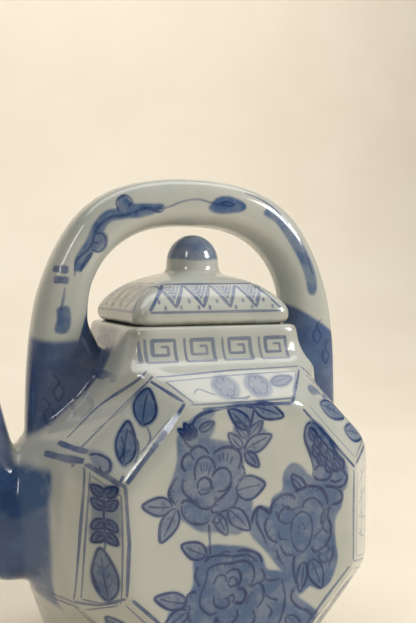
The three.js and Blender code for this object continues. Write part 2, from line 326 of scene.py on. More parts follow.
def relaxed(piece, steps, firmness=None):
    """Evens the surface out: each vertex moves towards its neighbours' mean, less where firmness is high."""
    mesh = piece.data
    points = coordinates(mesh)
    edges = np.empty(len(mesh.edges) * 2, np.int32)
    mesh.edges.foreach_get("vertices", edges)
    a, b = edges[0::2], edges[1::2]
    count = np.bincount(a, minlength=len(points)) + np.bincount(b, minlength=len(points))
    pull = np.full(len(points), 0.5) if firmness is None else 0.5 * (1 - firmness)
    for _ in range(steps):
        mean = np.empty_like(points)
        for k in range(3):
            mean[:, k] = np.bincount(a, points[b, k], len(points)) + np.bincount(b, points[a, k], len(points))
        mean /= count[:, None]
        points += pull[:, None] * (mean - points)
    mesh.vertices.foreach_set("co", points.astype(np.float32).ravel())
    mesh.update()
    return piece


def sections_between(sections, count):
    """Square sections, (z, half x, half y, reach), along a smooth curve through the given ones."""
    return [square_ring(*row) for row in spline(sections, count)]


def handle_sections():
    mirrored = [((-u[0], u[1]), (-w[0], w[1])) for u, w in reversed(HANDLE_HALF[:-1])]
    whole = np.array(HANDLE_HALF + mirrored, float).reshape(-1, 4)
    return [band_ring(row[:2], row[2:], HANDLE_DEPTH, SQUARE_SECTION) for row in spline(whole, 90)]


def bent_sections(sections, count, power, inset=0.0, flip=1):
    table = np.array([(*u, *w, d) for u, w, d in sections], float)
    table[:, (0, 2)] *= flip
    return [band_ring(r[:2], r[2:4], r[4], power, inset=inset) for r in spline(table, count)]


def flask(inset=0.0):
    stations = [-PANEL_Y, *np.linspace(-SHOULDER_Y, SHOULDER_Y, BODY_STATIONS), PANEL_Y]
    return loft([octagon_ring(y, inset) for y in stations])


def strainer_drill(y, z):
    wall_x = octagon_at(y)["width"]
    angle = np.linspace(0, 2 * math.pi, 16, endpoint=False)
    circle = np.stack([np.zeros(16), np.cos(angle), np.sin(angle)], 1) * STRAINER_HOLE + (0, y, z)
    return loft([circle - (wall_x + 6, 0, 0), circle - (wall_x - 9, 0, 0)])


def make_pot():
    members = [
        flask(),
        loft(sections_between(NECK_SECTIONS, 40)),
        loft([square_ring(*row) for row in FOOT_SECTIONS]),
        loft(bent_sections(COLLAR_SECTIONS, 14, ROUND_SECTION)),
        loft(bent_sections(SPOUT_SECTIONS, 40, ROUND_SECTION)),
        loft(handle_sections()),
        loft(bent_sections(ROOT_SECTIONS, 16, SQUARE_SECTION)),
        loft(bent_sections(ROOT_SECTIONS, 16, SQUARE_SECTION, flip=-1)),
    ]
    pot = fused(mesh_object("pot_glazed", members), POT_VOXEL)
    cut(pot, mesh_object("foot_well_tool", [loft([square_ring(*row) for row in FOOT_WELL])]))
    bore = mesh_object("bore_tool", [loft(bore_sections())])
    cut(bore, mesh_object("flask_tool", [flask()]))
    cut(pot, bore)
    cut(pot, mesh_object("cavity_tool", [flask(BODY_WALL)]))
    mouth = [square_ring(z, *MOUTH) for z in (30, NECK_RIM_Z + 4)]
    cut(pot, mesh_object("mouth_tool", [loft(mouth)]))
    for y in STRAINER_Y:
        for z in STRAINER_Z:
            cut(pot, mesh_object("drill_tool", [strainer_drill(y, z)]))
    fused(pot, POT_VOXEL)
    relaxed(pot, 5)
    spot = to_pot(coordinates(pot.data))
    x, z = spot[:, 0], spot[:, 2]
    slender = smoothstep(-74, -82, x) + smoothstep(62, 70, z) + smoothstep(-64, -70, z)
    return relaxed(pot, 14, np.clip(slender, 0, 1) * 0.8)


def bore_sections():
    joined = [*COLLAR_SECTIONS[:-1], *SPOUT_SECTIONS]
    (u1, w1, d1), (u0, w0, _) = joined[-1], joined[-2]
    beyond = ((2 * u1[0] - u0[0], 2 * u1[1] - u0[1]), (2 * w1[0] - w0[0], 2 * w1[1] - w0[1]), d1)
    return bent_sections([*joined, beyond], 48, ROUND_SECTION, inset=SPOUT_WALL)


def make_lid():
    profile = spline(KNOB_PROFILE, 40)
    angle = np.linspace(0, 2 * math.pi, 64, endpoint=False)
    knob = [np.stack([KNOB_X + r * np.cos(angle), r * np.sin(angle), np.full(64, z)], 1) for r, z in profile]
    shell = spline([(z, x, x, reach) for z, x, reach in LID_SECTIONS], 50)
    lid = mesh_object("lid_glazed", [
        loft([square_ring(*row) for row in shell]),
        loft([square_ring(z, x, x, reach) for z, x, reach in FLANGE_SECTIONS]),
        loft(knob),
    ])
    fused(lid, LID_VOXEL)
    cut(lid, mesh_object("hollow_tool", [loft([square_ring(z, x, x, reach) for z, x, reach in LID_HOLLOW])]))
    fused(lid, LID_VOXEL)
    return relaxed(lid, 8)


# ======================= Brushwork =======================
# A leaf's outline as (share of its length, share of its width), and the rounded edge of one petal
# as (share of its half angle, share of the outer radius).
LEAF_SHAPE = [
    (0, 0), (0.18, 0.36), (0.45, 0.5), (0.75, 0.34), (1, 0), (0.75, -0.34), (0.45, -0.5), (0.18, -0.36),
]
PETAL_SCALLOP = [(-0.92, 0.88), (-0.4, 1), (0.35, 1.02), (0.9, 0.9)]


class Painting:
    """Brush strokes and washes on a flat sheet of millimetres, to be laid on the clay."""

    def __init__(self):
        self.strokes = []
        self.washes = []

    def line(self, points, width=0.75, ink=0.9, curved=True, closed=False):
        points = [*points, points[0]] if closed else points
        self.strokes.append((np.array(points, float), width, ink, curved))

    def wash(self, points, density=0.7, grow=0.7):
        self.washes.append((closed_curve(points), density, grow))

    def leaf(self, base, tip, width, ink=0.9, density=0.62, veins=2):
        """A pointed leaf from base to tip, with a midrib and side veins."""
        base, tip = np.array(base, float), np.array(tip, float)
        along = tip - base
        length = np.hypot(*along)
        along /= length
        across = np.array([-along[1], along[0]])
        outline = [base + along * u * length + across * v * width for u, v in LEAF_SHAPE]
        self.line(outline, 0.7, ink, closed=True)
        self.wash(outline, density)
        middle = base + along * length * 0.5 + across * 0.3
        self.line([base, middle, base + along * length * 0.86], 0.5, ink * 0.85)
        for k in range(veins):
            root = base + along * length * (0.25 + 0.5 * k / max(veins, 1))
            for side in (-1, 1):
                end = root + along * length * 0.16 + across * side * width * 0.3
                self.line([root, end], 0.38, ink * 0.6)

    def petals(self, centre, radii, count, turn=0.0, spread=2 * math.pi, scale_z=1.0, ink=0.85, width=0.65):
        """A ring of scalloped petals from the inner to the outer radius round a centre."""
        inner, outer = radii
        for k in range(count):
            middle = turn + spread * (k + 0.5) / count
            half = spread / count * 0.52
            arc = []
            scallop = [(share, outer * reach) for share, reach in PETAL_SCALLOP]
            for share, radius in ((-1, inner), *scallop, (1, inner)):
                angle = middle + share * half
                u = centre[0] + radius * math.cos(angle)
                v = centre[1] + radius * math.sin(angle) * scale_z
                arc.append((u, v))
            self.line(arc, width, ink)

    def fringe(self, points, reach, count, ink=0.7, width=0.42):
        """Short ticks to the left of a path, such as the veins at a petal's edge."""
        path = spline(points, 40)
        heading = np.gradient(path, axis=0)
        heading /= np.hypot(*heading.T)[:, None]
        for k in np.linspace(3, 36, count).astype(int):
            left = np.array([-heading[k, 1], heading[k, 0]])
            self.line([path[k], path[k] + left * reach * (0.75 + 0.25 * math.sin(2.1 * k))], width, ink)

    def petal(self, points, reach=2.4, count=5, width=0.8, ink=0.92):
        """A petal's edge with veins running in from it."""
        self.line(points, width, ink)
        self.fringe(points, reach, count)

    def wash_at(self, spots):
        """How much wash lies at each (u, v) spot, 0 to 1, with the soft edge of wet pigment."""
        result = np.zeros(len(spots))
        for outline, density, grow in self.washes:
            low, high = outline.min(0) - 3, outline.max(0) + 3
            near = np.flatnonzero(((spots > low) & (spots < high)).all(1))
            if len(near):
                reach = signed_distance(spots[near], outline)
                result[near] = np.maximum(result[near], density * smoothstep(grow + 0.7, grow - 0.7, reach))
        return result


def closed_curve(points):
    points = [*points[-2:], *points, *points[:2]]
    curve = spline(points, 6 * len(points))
    return curve[12:-11]


def signed_distance(spots, outline):
    """Distance to a closed polygon, negative inside."""
    a, b = outline, np.roll(outline, -1, 0)
    best = np.full(len(spots), 1e9)
    inside = np.zeros(len(spots), bool)
    for p, q in zip(a, b):
        edge, gap = q - p, spots - p
        share = np.clip(gap @ edge / max(edge @ edge, 1e-9), 0, 1)
        best = np.minimum(best, np.hypot(*(gap - share[:, None] * edge).T))
        crosses = (p[1] > spots[:, 1]) != (q[1] > spots[:, 1])
        with np.errstate(divide="ignore", invalid="ignore"):
            at = (q[0] - p[0]) * (spots[:, 1] - p[1]) / (q[1] - p[1]) + p[0]
        inside ^= crosses & (spots[:, 0] < at)
    return np.where(inside, -best, best)


def paint_frames(p):
    """Double ruled lines round each facet and the panel."""
    def rule(points, width, ink):
        p.line(points, width, ink, curved=False)

    # Upper left facet
    rule([(-35.2, 62.7), (-50, 48.8), (-65.2, 34.6)], 1.0, 0.85)
    rule([(-33.6, 60.7), (-48, 46.6), (-63.8, 31.4)], 0.9, 0.8)
    rule([(-38.6, 55.4), (-47, 46.8), (-57.4, 38.4)], 0.5, 0.55)
    rule([(-35.8, 58.8), (-25.2, 51)], 0.9, 0.95)
    rule([(-25.2, 51.2), (-37, 36.8), (-49.6, 22)], 1.35, 1.0)
    rule([(-31.3, 45.6), (-44.1, 32)], 0.45, 0.6)
    rule([(-62.6, 28.4), (-52, 21.8), (-49.8, 25.4)], 0.9, 0.9)
    rule([(-66.4, 26), (-63.4, 30.2)], 1.0, 0.9)
    # Left facet
    rule([(-62.4, 27.6), (-64.2, 2), (-66, -26)], 0.95, 0.85)
    rule([(-60.8, 26), (-62.5, 2), (-64, -24.4)], 0.7, 0.75)
    rule([(-60.8, 24.4), (-51.4, 17.8), (-51, -2), (-51.4, -24.4)], 0.6, 0.7)
    rule([(-61.6, 28.6), (-50, 21.2), (-48.7, 0), (-49.6, -21)], 0.95, 0.85)
    rule([(-66, -26.2), (-58, -25.6), (-49.4, -21)], 0.95, 0.85)
    rule([(-64, -24.2), (-57, -24.6), (-51.4, -23.6)], 0.6, 0.7)
    # Top facet
    rule([(-33.6, 60), (0, 61.3), (32.6, 61.6)], 0.8, 0.75)
    rule([(-30, 58.4), (0, 59.6), (29, 60)], 0.65, 0.65)
    rule([(-30.2, 58.6), (-21.6, 50.6)], 0.6, 0.65)
    rule([(-23.6, 50.4), (0, 50.2), (21.4, 50.6)], 0.65, 0.7)
    rule([(-19.4, 48.6), (0, 49.2), (19.6, 48.8), (31.6, 60.6)], 0.9, 0.85)
    rule([(22, 52), (29, 59.6)], 0.55, 0.55)
    # Upper right facet
    rule([(33, 61.6), (50, 45.4), (66.2, 28)], 0.85, 0.8)
    rule([(33.6, 58.4), (48, 45), (63.4, 29)], 0.65, 0.75)
    rule([(24.6, 46.4), (37, 33.2), (50.2, 19.6)], 1.0, 0.9)
    rule([(28.4, 47.4), (39, 36), (51.6, 23.2)], 0.5, 0.55)
    rule([(65.8, 26.4), (51.2, 20.8)], 0.95, 0.9)
    rule([(62.8, 28.2), (52.4, 23.4)], 0.55, 0.6)
    # Right facet
    rule([(49.4, 19.4), (49.2, 0), (49.4, -20)], 0.75, 0.8)
    rule([(52, 18), (51.8, 0), (52, -20)], 0.5, 0.6)
    rule([(66.2, 26), (67, 0), (66.2, -26)], 0.7, 0.75)
    rule([(64, 24), (64.6, 0), (64, -23.6)], 0.5, 0.6)
    rule([(49.4, -20), (66.4, -26.4)], 0.8, 0.8)
    rule([(52, -18.8), (64, -23.4)], 0.5, 0.6)
    # Lower facets and the foot of the panel
    for side in (-1, 1):
        rule([(side * 47.8, -21.6), (side * 36, -33.4), (side * 23.6, -47.2)], 1.0, 0.9)
        rule([(side * 50, -23.8), (side * 38, -36.4), (side * 25.2, -49.2)], 0.75, 0.8)
        rule([(side * 66, -28.4), (side * 50, -44.6), (side * 34.4, -59.6)], 0.9, 0.85)
        rule([(side * 63.6, -29.4), (side * 48.6, -44.6), (side * 33.6, -57.8)], 0.6, 0.7)
        rule([(side * 25, -49.4), (side * 34, -58.2)], 0.75, 0.8)
        rule([(side * 51.6, -24.6), (side * 62.6, -29)], 0.6, 0.7)
    rule([(-22.6, -48.6), (0, -49.4), (22.6, -48.6)], 0.95, 0.85)
    rule([(-24, -51), (0, -51.4), (24, -51)], 0.6, 0.7)
    rule([(-32.6, -59.4), (0, -60), (32.6, -59.4)], 0.85, 0.8)
    rule([(-30, -57.4), (0, -58), (30, -57.4)], 0.55, 0.65)


def paint_facets(p):
    """Sprigs, buds and scrolls inside the framed facets."""
    # Upper left: bud leaf, leaf pair and a comma scroll
    p.leaf((-41, 42.6), (-36.6, 55.8), 7.2, 0.95, 0.75, veins=0)
    p.line([(-39.6, 42.6), (-39, 38.6), (-41, 35)], 0.6, 0.7)
    p.leaf((-49.4, 28.6), (-45.4, 43.8), 6.4, 0.95, 0.72, veins=1)
    p.line([(-46, 29), (-44, 33), (-43.8, 37), (-46, 41)], 0.7, 0.85)
    p.line([(-51, 29.4), (-48.4, 34), (-48.6, 39)], 0.7, 0.85)
    p.line([(-60.6, 31.4), (-57.4, 31.8), (-54, 30), (-54.4, 26.4), (-57, 25.6), (-57.4, 28.2)], 0.8, 0.85)
    p.wash([(-60, 32), (-56, 32), (-53.4, 29), (-55, 25.6), (-57.6, 26)], 0.45)
    # Left shoulder: a pale ribbon blowing back from the frame
    p.line([(-45, 58.4), (-48.4, 57.4), (-52, 52.6), (-55.4, 49), (-59.4, 46.4)], 2.6, 0.34)
    p.line([(-54, 51), (-53.4, 47.4), (-55.6, 44), (-58.6, 42)], 2.2, 0.3)
    p.line([(-60.4, 47.6), (-59, 43.6), (-62, 40)], 1.2, 0.3)
    # Left: two leaf clusters on one stem
    for k, (z, lean) in enumerate(((17, 1), (12, 1), (8, -1), (3, -1))):
        for side in (-1, 1):
            p.leaf((-56.6, z), (-56.6 + side * 4, z + lean * 3.8), 3.6, 1.0, 0.9, veins=0)
            p.line([(-56.6, z + lean), (-56.6 + side * 3, z + lean * 1.6)], 0.8, 0.9)
    p.line([(-56.6, 21), (-56.8, 10), (-56.4, 0), (-56.8, -4)], 0.8, 0.95)
    p.wash([(-60.2, 20), (-53, 17), (-52.4, 8), (-53, 1), (-60.6, 1.6), (-60, 10)], 0.55)
    p.leaf((-55.2, -23.4), (-58, -3), 8, 0.95, 0.72, veins=3)
    p.line([(-59.6, -8), (-60.6, -13), (-57.6, -21)], 0.8, 0.9)
    # Top: two round flowers and a leaf on a trailing stem
    for x in (-6, 8.4):
        p.wash([
            (x - 5.4, 55.6), (x - 3, 58.8), (x + 2.4, 59), (x + 5.4, 56), (x + 3, 52.6), (x - 3, 52.4),
        ], 0.5)
        p.petals((x, 55.8), (1.3, 3.9), 6, 0.4, scale_z=0.85, ink=0.5, width=0.5)
    p.leaf((14.6, 56), (25.4, 57.8), 3.2, 0.55, 0.5, veins=0)
    p.line([(-21, 53.6), (-18, 55.4), (-14, 54), (-11, 53)], 0.6, 0.6)
    p.line([(-7, 52), (0, 51.6), (3, 52.4)], 0.8, 0.7)
    # Upper right: dots and two flowers
    p.wash([(32, 53), (34, 50.6), (38, 50.4), (40, 49.6), (38, 52), (34.6, 54)], 0.6, 0.3)
    p.wash([(41, 49), (44, 49.6), (44.6, 47), (42, 46.4)], 0.55, 0.3)
    p.leaf((37.4, 46.4), (52.6, 38.8), 6.4, 0.9, 0.6, veins=2)
    p.leaf((50, 34.2), (63.6, 29.4), 6.4, 0.9, 0.55, veins=1)
    # Right: reed strokes
    for z, lean in ((14, -3), (5, -2.4), (-4, 2), (-12, 2.6)):
        p.line([(54, z + lean), (58, z), (62.6, z - lean)], 0.8, 0.5)
        p.line([(56, z + 4), (58, z)], 0.7, 0.5)
    p.line([(58, 16), (58.4, 0), (58, -17)], 0.6, 0.5)
    # Lower facets: a sprig each, and a trailing leaf run at the foot
    for side in (-1, 1):
        p.leaf((side * 44, -42), (side * 55, -31), 6, 0.85, 0.65)
        p.leaf((side * 43, -43), (side * 33.6, -53), 5.6, 0.85, 0.65)
        p.leaf((side * 43.6, -42.6), (side * 46.6, -46.6), 3.4, 0.85, 0.6, veins=0)
        p.line([(side * 56, -31), (side * 44, -42.4), (side * 33, -54)], 0.6, 0.75)
        p.leaf((side * 5, -54.6), (side * 18, -54), 4.4, 0.75, 0.6)
        p.line([(side * 18, -54), (side * 22, -55.6), (side * 26, -54.4)], 0.5, 0.65)
    p.wash([(-4.4, -54.6), (0, -52.2), (4.4, -54.6), (0, -57)], 0.5)
    p.petals((0, -54.6), (1, 3.2), 6, 0.2, scale_z=0.8, ink=0.6, width=0.5)


def paint_first_peony(p):
    """The upper left flower, its bud, and the leaf spray above it."""
    p.wash([
        (-29, 38), (-25, 43.6), (-20, 45), (-15, 43.4), (-15.6, 40),
        (-17, 37), (-12, 35.4), (-8, 34.6), (-4, 33),
        (-2.6, 27), (-3, 22), (1, 12), (0, 4), (-4, -1), (-9, 0), (-14, 1), (-20, 2), (-26, 6), (-31, 10),
        (-33, 17), (-30.6, 24), (-29, 30),
    ], 0.66, 0.9)
    # Heart and inner petals
    p.line([
        (-21.4, 17.6), (-21.2, 20.6), (-18.6, 22.2), (-16.2, 20.8), (-15.8, 18), (-17.4, 16), (-20, 15.8),
    ], 0.75, 0.95, closed=True)
    for x in (-20, -19, -18, -17):
        p.line([(x, 18.6), (x + 0.6, 16.4)], 0.55, 1.0)
    p.line([(-16.4, 17), (-14, 18.2)], 0.9, 1.0)
    p.line([
        (-15.8, 21.6), (-13.6, 24.6), (-10, 25.2), (-7.6, 22.6), (-7.6, 19.2), (-9.8, 16.4), (-13.4, 16.2),
    ], 0.75, 0.9)
    p.line([(-22.4, 20.6), (-22.6, 26), (-20.6, 29.8), (-17, 30), (-14.6, 27.4), (-14.2, 24.8)], 0.7, 0.9)
    for x, z in ((-20.4, 28), (-19, 28.8), (-17.4, 28.6), (-16, 27)):
        p.line([(x, z), (x * 0.5 - 9.2, z - 4.6)], 0.45, 0.7)
    p.line([(-15.4, 31), (-11, 33.2), (-7, 33), (-3.8, 31), (-3, 27.4), (-4.6, 23.8)], 0.85, 0.95)
    for x, z in ((-12.6, 31.4), (-10.8, 31.8), (-8.6, 31.4), (-6.6, 30)):
        p.line([(x, z), (x * 0.7 - 3.2, z - 4)], 0.5, 0.7)
    p.line([(-27.4, 23), (-27.6, 18.6), (-25.2, 15), (-21.8, 12.6)], 0.75, 0.85)
    p.line([(-22, 14.6), (-21.4, 11.4), (-18, 9.8), (-14.4, 11), (-13.6, 15)], 0.75, 0.9)
    p.line([(-28.2, 12.6), (-27, 14), (-23.6, 13.2), (-20.6, 10.6)], 0.8, 0.9)
    p.line([(-28.2, 12.6), (-27.4, 8.6), (-24.4, 5.2), (-19.4, 4), (-16.4, 5.2)], 0.7, 0.85)
    p.line([(-15, 9.8), (-13.6, 12.4), (-11, 14), (-8.6, 16.4), (-6.6, 20.4)], 0.8, 0.95)
    for k in range(7):
        x, z = -14.2 + k * 1.05, 11.6 + k * 1.05
        p.line([(x, z), (x + 1.5, z - 1.3)], 0.5, 0.85)
    p.line([(-5.4, 18), (-4.6, 12.4), (-8, 8.8), (-14.6, 8), (-16, 10)], 0.7, 0.85)
    p.line([(-29.4, 24), (-32, 20.4), (-33, 16.4), (-30, 12.4)], 0.8, 0.9)
    p.fringe([(-27.4, 23), (-27.6, 18.6), (-25.2, 15), (-21.8, 12.6)], 2.2, 5)
    p.fringe([(-29.4, 24), (-32, 20.4), (-33, 16.4), (-30, 12.4)], 2.6, 5)
    p.fringe([(-22, 14.6), (-21.4, 11.4), (-18, 9.8), (-14.4, 11), (-13.6, 15)], 2.2, 6)
    p.fringe([(-28.2, 12.6), (-27.4, 8.6), (-24.4, 5.2), (-19.4, 4), (-16.4, 5.2)], 2.6, 6)
    p.petal([(-3.2, 26), (-1.6, 23.4), (-2.2, 20.6), (-5, 19.4)], 2, 4)
    p.petal([(-26, 24.6), (-28, 28), (-26.6, 31.6), (-23.6, 32)], -2, 4)
    p.petal([(-16.2, 5), (-13, 3.6), (-11.4, 6), (-12.2, 8.4)], 1.8, 4, 0.7)
    p.line([(-22.6, 29), (-24.4, 32.4), (-22, 34.6), (-18.6, 33.6), (-16.4, 30.6)], 0.75, 0.9)
    p.line([(-28.6, 41), (-26.6, 37), (-24.4, 34.6), (-21, 34.4)], 0.7, 0.85)
    # Side leaves
    p.leaf((-31.4, 12), (-43.6, 13.6), 7, 0.9, 0.6, veins=1)
    p.leaf((-30, 11.4), (-36.4, -1), 7, 0.9, 0.6, veins=1)
    p.leaf((-5.4, 15.6), (7.4, 17.2), 9.6, 0.9, 0.6, veins=0)
    p.leaf((-8.6, 9), (0.8, -0.6), 6.6, 0.9, 0.6, veins=1)
    p.leaf((-14, 7.4), (-9, -1.4), 4.6, 0.85, 0.6, veins=0)
    # Bud and its sepals
    for tip in ((-29, 41.6), (-26.6, 43.8), (-24, 43.6), (-22.6, 41.6)):
        p.leaf((-23.6, 37.4), tip, 2.6, 0.95, 0.8, veins=0)
    p.leaf((-21, 40.6), (-14.6, 43.4), 3.2, 0.9, 0.66, veins=0)
    p.line([(-24, 42.6), (-21.6, 45.8), (-17, 47.6), (-9, 48.8), (-1, 49), (3.6, 47.6)], 0.95, 0.9)
    p.wash([(-25, 43.6), (-20, 47), (-15, 48), (-15.4, 46), (-20, 44)], 0.5)
    # Leaf spray
    p.leaf((-2.4, 32), (-8.4, 38.6), 4, 0.9, 0.45, veins=0)
    p.leaf((1, 39.6), (-8.2, 48.2), 5.6, 1.0, 0.75, veins=1)
    p.leaf((-1.6, 31.4), (10.2, 36.6), 6.6, 0.95, 0.62, veins=1)
    p.leaf((-1.2, 31), (4.6, 24.4), 4.4, 0.95, 0.66, veins=0)
    p.leaf((2.6, 48.6), (15.6, 43.8), 6.4, 0.95, 0.6, veins=1)
    p.leaf((0.6, 36.6), (6.2, 42.6), 4, 0.85, 0.6, veins=0)
    p.leaf((0, 36), (-5.4, 43), 3.6, 0.85, 0.66, veins=0)
    p.line([(-2, 31.4), (0, 36), (1, 41), (2.8, 48)], 0.8, 0.9)
    p.wash([(-6, 34), (-5.6, 44), (-6, 49), (2, 49), (8, 47), (4, 42), (8, 37), (2, 32), (-2, 30)], 0.6)


def paint_second_peony(p):
    """The right-hand flower with the bud column above it."""
    p.wash([
        (2, 6), (5, 8), (10, 7), (11.6, 11), (15.8, 13.6),
        (16.4, 20), (19.4, 23.6), (23, 22.6), (27, 18.4), (30, 17.6),
        (30.6, 24), (27, 30), (25.6, 36), (27.8, 40.4), (32.6, 38.6),
        (38, 32), (42, 25.6), (45, 20), (45, 13.6),
        (42.8, 10), (42.4, 5), (39.2, -1), (39.4, -10), (40.4, -18), (37.4, -26), (33, -28.6), (28, -26.6),
        (23, -29.4), (19.6, -24), (13.4, -16), (8, -9), (2.4, -3), (0.8, 1.6),
    ], 0.74, 0.9)
    p.line([(19, 20.2), (20.4, 15.6), (23, 12.4)], 0.8, 1.0)
    p.line([(19, 20.2), (23.6, 18), (27, 13.6)], 0.8, 1.0)
    p.line([(20, 18.6), (24.8, 13.4)], 0.55, 0.9)
    p.line([
        (1.6, 1.6), (2.6, 5.6), (5, 8), (8, 6.4), (9.8, 5), (10.8, 8.6), (13.6, 11.2), (17.4, 12),
        (20.4, 10.8), (20.8, 9),
    ], 0.9, 0.95)
    p.line([(4.4, 7.6), (3.8, 2.4), (6.4, -3), (8.4, -7.6)], 0.75, 0.9)
    p.line([(20.8, 12.4), (24, 13.6), (28.4, 14.2), (33, 12.8), (35.4, 9.6), (36.6, 5.4)], 0.95, 1.0)
    p.line([(34.6, 13.6), (39.6, 12.6), (43, 9.6), (42.4, 6.4), (38, 5.4)], 0.95, 1.0)
    p.line([(37.4, 5.4), (36.4, 0.6), (38, -3.4), (37.4, -7)], 0.85, 0.95)
    p.line([
        (19.2, -4), (20, 1), (23.8, 4), (27.8, 2.2), (29.2, -3.6), (27.8, -9.4), (24.6, -12.6),
        (21, -10.2), (19.4, -6),
    ], 0.6, 0.75, closed=True)
    p.line([(24, 5), (26, 8.4), (30, 9), (33.6, 5.6), (35, 0), (33, -4.8), (29.8, -7.2)], 0.75, 0.8)
    for k in range(5):
        p.line([(30 + k * 0.9, -6.8 + k * 1.5), (31.4 + k * 0.9, -7.6 + k * 1.5)], 0.45, 0.75)
    p.fringe([(10.8, 8.6), (13.6, 11.2), (17.4, 12), (20.4, 10.8)], -2.4, 5)
    p.fringe([(24, 13.6), (28.4, 14.2), (33, 12.8), (35.4, 9.6)], -2.6, 6)
    p.petal([(36.4, 4.6), (33.6, 1.4), (33.8, -3), (36.6, -6.6)], 2, 5, 0.7)
    p.petal([(9, 4), (7.4, 0), (9.4, -5), (13.4, -7.6)], 2.4, 5, 0.75)
    p.petal([(14, -8), (16.6, -12.4), (21, -13.6)], 2.2, 4, 0.7)
    p.petal([(28.2, -11), (31, -13.4), (36, -10.6), (38.6, -5.4)], 2.2, 5, 0.75)
    p.petal([(20.6, 4.6), (17.4, 6.8), (14, 4.6), (14.4, 0.4)], 2, 4, 0.65)
    for turn in range(5):
        angle = turn * 1.1
        outer = (24.2 + 2.4 * math.cos(angle), -3.6 + 3.4 * math.sin(angle))
        inner = (24.2 + 1.2 * math.cos(angle + 0.9), -3.6 + 1.8 * math.sin(angle + 0.9))
        p.line([outer, inner], 0.5, 0.75)
    p.line([(12.4, 6), (13.6, 2), (17, 0), (20, 1)], 0.65, 0.7)
    p.line([(14.6, 8.6), (17, 6.2), (20.6, 5.6), (24, 6.4)], 0.6, 0.7)
    p.line([(13.2, -2), (14.6, -6), (19.2, -6.6)], 0.6, 0.65)
    p.line([(12.6, -9.4), (13.6, -13.6), (16, -16.8)], 0.85, 0.85)
    p.petals((35.4, -15), (0.2, 3.4), 3, 0.8, ink=0.7, width=0.6)
    p.leaf((25.4, -16.4), (23.4, -29), 4.6, 0.9, 0.6, veins=0)
    p.leaf((28.4, -16), (33.6, -28.8), 7, 0.9, 0.6, veins=1)
    p.line([(21, -13), (20.4, -19), (22, -26)], 0.9, 0.9)
    p.line([(36.6, -20), (39, -16.4), (38.6, -11)], 0.7, 0.75)
    # Bud column: overlapping scales climbing to a tip
    p.line([(29, 17.8), (29.6, 22), (27.4, 29), (25.4, 34), (26, 39), (28.6, 40.6)], 0.8, 0.95)
    p.line([
        (28.6, 40.6), (33, 37.8), (38, 31.6), (40.6, 26), (43.8, 23), (43.6, 19.6), (45.6, 16.4),
        (43.8, 13), (40, 12.4),
    ], 0.95, 1.0)
    for x, z in (
        (29, 36), (31.4, 33), (30.4, 29), (34, 30), (33, 25.4), (37, 27), (36.4, 22.4), (40, 22.4),
    ):
        p.leaf((x + 1.6, z - 3.6), (x - 1, z + 2.2), 3.6, 0.95, 0.85, veins=0)
    p.line([(29.4, 20), (32, 22.4), (36, 22), (38, 19), (36, 16.4), (31.4, 16.6), (29.4, 19)], 0.8, 0.95)
    p.line([(38, 19), (41, 20), (43.6, 19.4)], 0.75, 0.95)
    p.line([(37, 16), (40, 14.8), (43.6, 15.8)], 0.75, 0.95)


